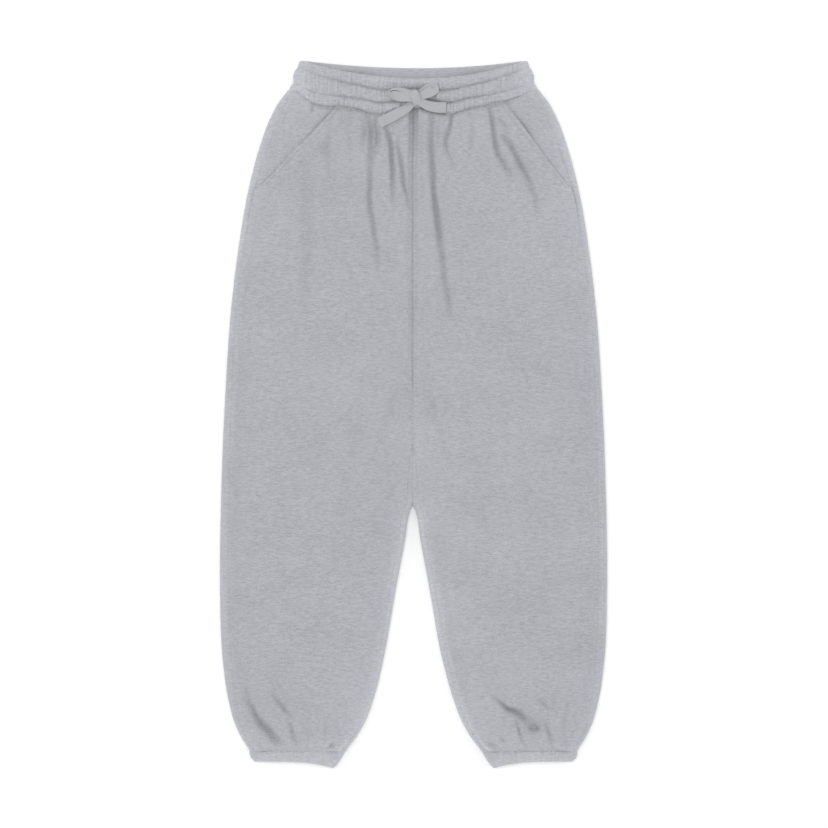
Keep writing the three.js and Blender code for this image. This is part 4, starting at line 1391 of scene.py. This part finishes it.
def tape_object(name, route, samples, thickness, material, hemmed=True):
    """A flat tape along a route of points (x, y, z, width, roll), roll being its turn in degrees
    round its own line from lying flat."""
    line = smooth_route(route, samples)
    tangents = np.gradient(line[:, :3], axis=0)
    tangents /= np.linalg.norm(tangents, axis=1)[:, None]
    around = 20
    angles = np.linspace(0, 2 * math.pi, around + 1)
    rows, uvs, travelled = [], [], 0.0
    side = Vector((0, 0, 1)).cross(Vector(tangents[0])).normalized()
    total = float(np.linalg.norm(np.diff(line[:, :3], axis=0), axis=1).sum())
    for k in range(samples):
        forward = Vector(tangents[k])
        side = (side - forward * side.dot(forward)).normalized()
        level = Vector((0, 0, 1)).cross(forward)
        if level.dot(side) < 0:
            level.negate()
        side = (side + level * 2).normalized()
        width, roll = line[k, 3] / 2, math.radians(line[k, 4])
        wide = Matrix.Rotation(roll, 3, forward) @ side
        up = forward.cross(wide).normalized()
        if k:
            travelled += float(np.linalg.norm(line[k, :3] - line[k - 1, :3]))
        hem = 1 + 0.9 * float(ease((travelled - total + TIP_HEM) * 2)) if hemmed else 1
        ring, flat = [], []
        for angle in angles:
            across = math.copysign(abs(math.cos(angle)) ** 0.35, math.cos(angle))
            thick = math.copysign(abs(math.sin(angle)) ** 0.6, math.sin(angle))
            cup = 0.06 * width * (1 - across * across)
            point = Vector(line[k, :3]) + wide * across * width + up * (thick * hem * thickness / 2 + cup)
            ring.append(tuple(point))
            flat.append((across * width, travelled))
        ring[-1] = ring[0]
        rows.append(ring)
        uvs.append(flat)
    mesh = grid_mesh(name, np.array(rows), np.array(uvs), wrapped=True)
    bm = bmesh.new()
    bm.from_mesh(mesh)
    edges = [edge for edge in bm.edges if edge.is_boundary]
    bmesh.ops.holes_fill(bm, edges=edges, sides=0)
    bm.to_mesh(mesh)
    bm.free()
    close_outwards(mesh)
    obj = make_object(name, mesh, material)
    return obj, line


# Length of the hem at a tape's tip
TIP_HEM = 8.5

# The tape's two runs, as the bow holds them: x, y, z, width and roll
LEFT_LOOP_RUN = [
    (-5, 441, 13.6, 8, 0),
    (1, 446, 16, 8, 20),
    (-7, 453.5, 17, 9, 40),
    (-19, 457.2, 16.2, 10, 58),
    (-29, 457, 16, 10, 72),
    (-34.2, 453, 16.4, 10, 84),
    (-33, 449.6, 17, 11.5, 62),
    (-27, 448.4, 17.6, 13.6, 28),
    (-18, 446.4, 18.8, 14.2, 6),
    (-8, 445.5, 19.6, 12.5, 0),
    (2, 443, 19.2, 11, 0),
    (12, 438.2, 17.6, 12.5, 0),
    (22, 434, 16.2, 14.5, 0),
    (34, 431.8, 15.4, 15, 0),
    (46, 431.6, 15, 15, 0),
]
RIGHT_LOOP_RUN = [
    (8, 440, 13.6, 8, 0),
    (3, 444.5, 15.6, 8, 0),
    (8, 449.6, 16.2, 10, 0),
    (15, 454.5, 15.8, 13, 0),
    (21.5, 458, 15.6, 14, 0),
    (26.5, 459, 15.8, 14.5, 0),
    (29, 457.4, 17.6, 14.5, 0),
    (26, 454.4, 19.2, 14.5, 0),
    (19, 450.6, 19.8, 13.5, 0),
    (10, 447, 18.8, 10, 0),
    (0, 440, 16, 10, 0),
    (-9, 431, 15, 12.5, 0),
    (-21, 424, 14.8, 14.6, 0),
    (-34, 417.2, 13.8, 15, 0),
    (-49, 410, 12.4, 15, 0),
]


# The turn of tape that holds both
KNOT_RUN = [
    (-1, 452, 14.1, 10, 0),
    (-1.5, 454, 16.6, 10.5, 0),
    (0, 451.5, 20, 12, 0),
    (2.5, 446, 21.6, 12.5, 0),
    (5, 440, 20.2, 12, 0),
    (6.5, 436, 16.6, 11, 0),
    (6, 437, 14.1, 10, 0),
]


class JOGGER_OT_drawstring(bpy.types.Operator):
    """Adds the flat tape, tied in a bow over the waistband"""

    bl_idname = "jogger.drawstring"
    bl_label = "Drawstring"

    def execute(self, context):
        look = context.scene.jogger_tape
        left, left_line = tape_object("tape_left_loop", LEFT_LOOP_RUN, 150, look.thickness, tape())
        right, right_line = tape_object("tape_right_loop", RIGHT_LOOP_RUN, 150, look.thickness, tape())
        knot, _ = tape_object("tape_knot", KNOT_RUN, 60, look.thickness, tape(), hemmed=False)
        for obj, line, nodes in (
            (left, left_line, ("drawstring_loop_left", "drawstring_tail_right")),
            (right, right_line, ("drawstring_loop_right", "drawstring_tail_left")),
        ):
            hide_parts(*nodes)
            path = line[:, :3] * MM
            length = float(np.linalg.norm(np.diff(path, axis=0), axis=1).sum())
        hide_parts("drawstring_knot")
        return {"FINISHED"}


# Stage


class JOGGER_OT_stage(bpy.types.Operator):
    """Adds the plain surface, the soft lights and the camera straight above"""

    bl_idname = "jogger.stage"
    bl_label = "Stage"

    def execute(self, context):
        scene = context.scene
        look = scene.jogger_stage
        bm = bmesh.new()
        bmesh.ops.create_grid(bm, x_segments=4, y_segments=4, size=40)
        bmesh.ops.translate(bm, vec=(0, 0, -0.0006), verts=bm.verts)
        mesh = bpy.data.meshes.new("surface")
        bm.to_mesh(mesh)
        bm.free()
        mesh.materials.append(plain_material("pale surface", tuple(look.floor), 0.9))
        surface = bpy.data.objects.new("surface", mesh)
        scene.collection.objects.link(surface)

        world = bpy.data.worlds.new("studio")
        world.use_nodes = True
        background = world.node_tree.nodes["Background"]
        background.inputs["Color"].default_value = (1, 1, 1, 1)
        background.inputs["Strength"].default_value = look.fill
        scene.world = world
        for name, place, size, power in (
            ("over", (-0.25, 0.3, 2.6), 1.4, look.key),
            ("waist side", (0, 2.4, 1.0), 1.4, look.key * 0.8),
            ("cuff side", (0, -2.4, 1.0), 1.4, look.key * 0.9),
            ("left side", (-2.3, 0, 0.9), 1.4, look.key * 0.75),
            ("right side", (2.3, 0, 0.9), 1.4, look.key * 0.75),
        ):
            data = bpy.data.lights.new(name, "AREA")
            data.shape, data.size, data.energy = "SQUARE", size, power
            light = bpy.data.objects.new(name, data)
            light.location = place
            light.rotation_euler = (-Vector(place)).to_track_quat("-Z", "Y").to_euler()
            scene.collection.objects.link(light)

        data = bpy.data.cameras.new("camera")
        camera = bpy.data.objects.new("camera", data)
        photo_width = 828 * 1000 / 708 * MM
        photo_centre = ((414 - 413.5) * 1000 / 708 * MM, 0.0)
        camera.location = (*photo_centre, look.height)
        data.sensor_width = 36
        data.lens = data.sensor_width * (look.height - 0.006) / photo_width
        scene.collection.objects.link(camera)
        scene.camera = camera
        scene.view_settings.view_transform = "Standard"
        return {"FINISHED"}


class JOGGER_PT_pieces(bpy.types.Panel):
    """Lists the operators and their settings in the sidebar"""

    bl_label = "Joggers"
    bl_idname = "JOGGER_PT_pieces"
    bl_space_type = "VIEW_3D"
    bl_region_type = "UI"
    bl_category = "Joggers"

    def draw(self, context):
        for group in (
            context.scene.jogger_fleece, context.scene.jogger_band, context.scene.jogger_cuff,
            context.scene.jogger_tape, context.scene.jogger_stage,
        ):
            box = self.layout.box()
            for key in group.__annotations__:
                box.prop(group, key)
        for operator in OPERATORS:
            self.layout.operator(operator.bl_idname)


SETTINGS = {
    "jogger_fleece": FleeceSettings,
    "jogger_band": BandSettings,
    "jogger_cuff": CuffSettings,
    "jogger_tape": TapeSettings,
    "jogger_stage": StageSettings,
}
OPERATORS = [
    JOGGER_OT_stage,
    JOGGER_OT_drawstring,
    JOGGER_OT_backs,
    JOGGER_OT_pockets,
    JOGGER_OT_fronts,
    JOGGER_OT_waistband,
    JOGGER_OT_cuffs,
    JOGGER_OT_stitches,
]
CLASSES = [*SETTINGS.values(), *OPERATORS, JOGGER_PT_pieces]


def register():
    for cls in CLASSES:
        bpy.utils.register_class(cls)
    for name, group in SETTINGS.items():
        setattr(bpy.types.Scene, name, PointerProperty(type=group))


def unregister():
    for name in SETTINGS:
        delattr(bpy.types.Scene, name)
    for cls in reversed(CLASSES):
        bpy.utils.unregister_class(cls)


def main():
    register()
    for operator in OPERATORS:
        space, name = operator.bl_idname.split(".")
        getattr(getattr(bpy.ops, space), name)()


if __name__ == "__main__":
    main()
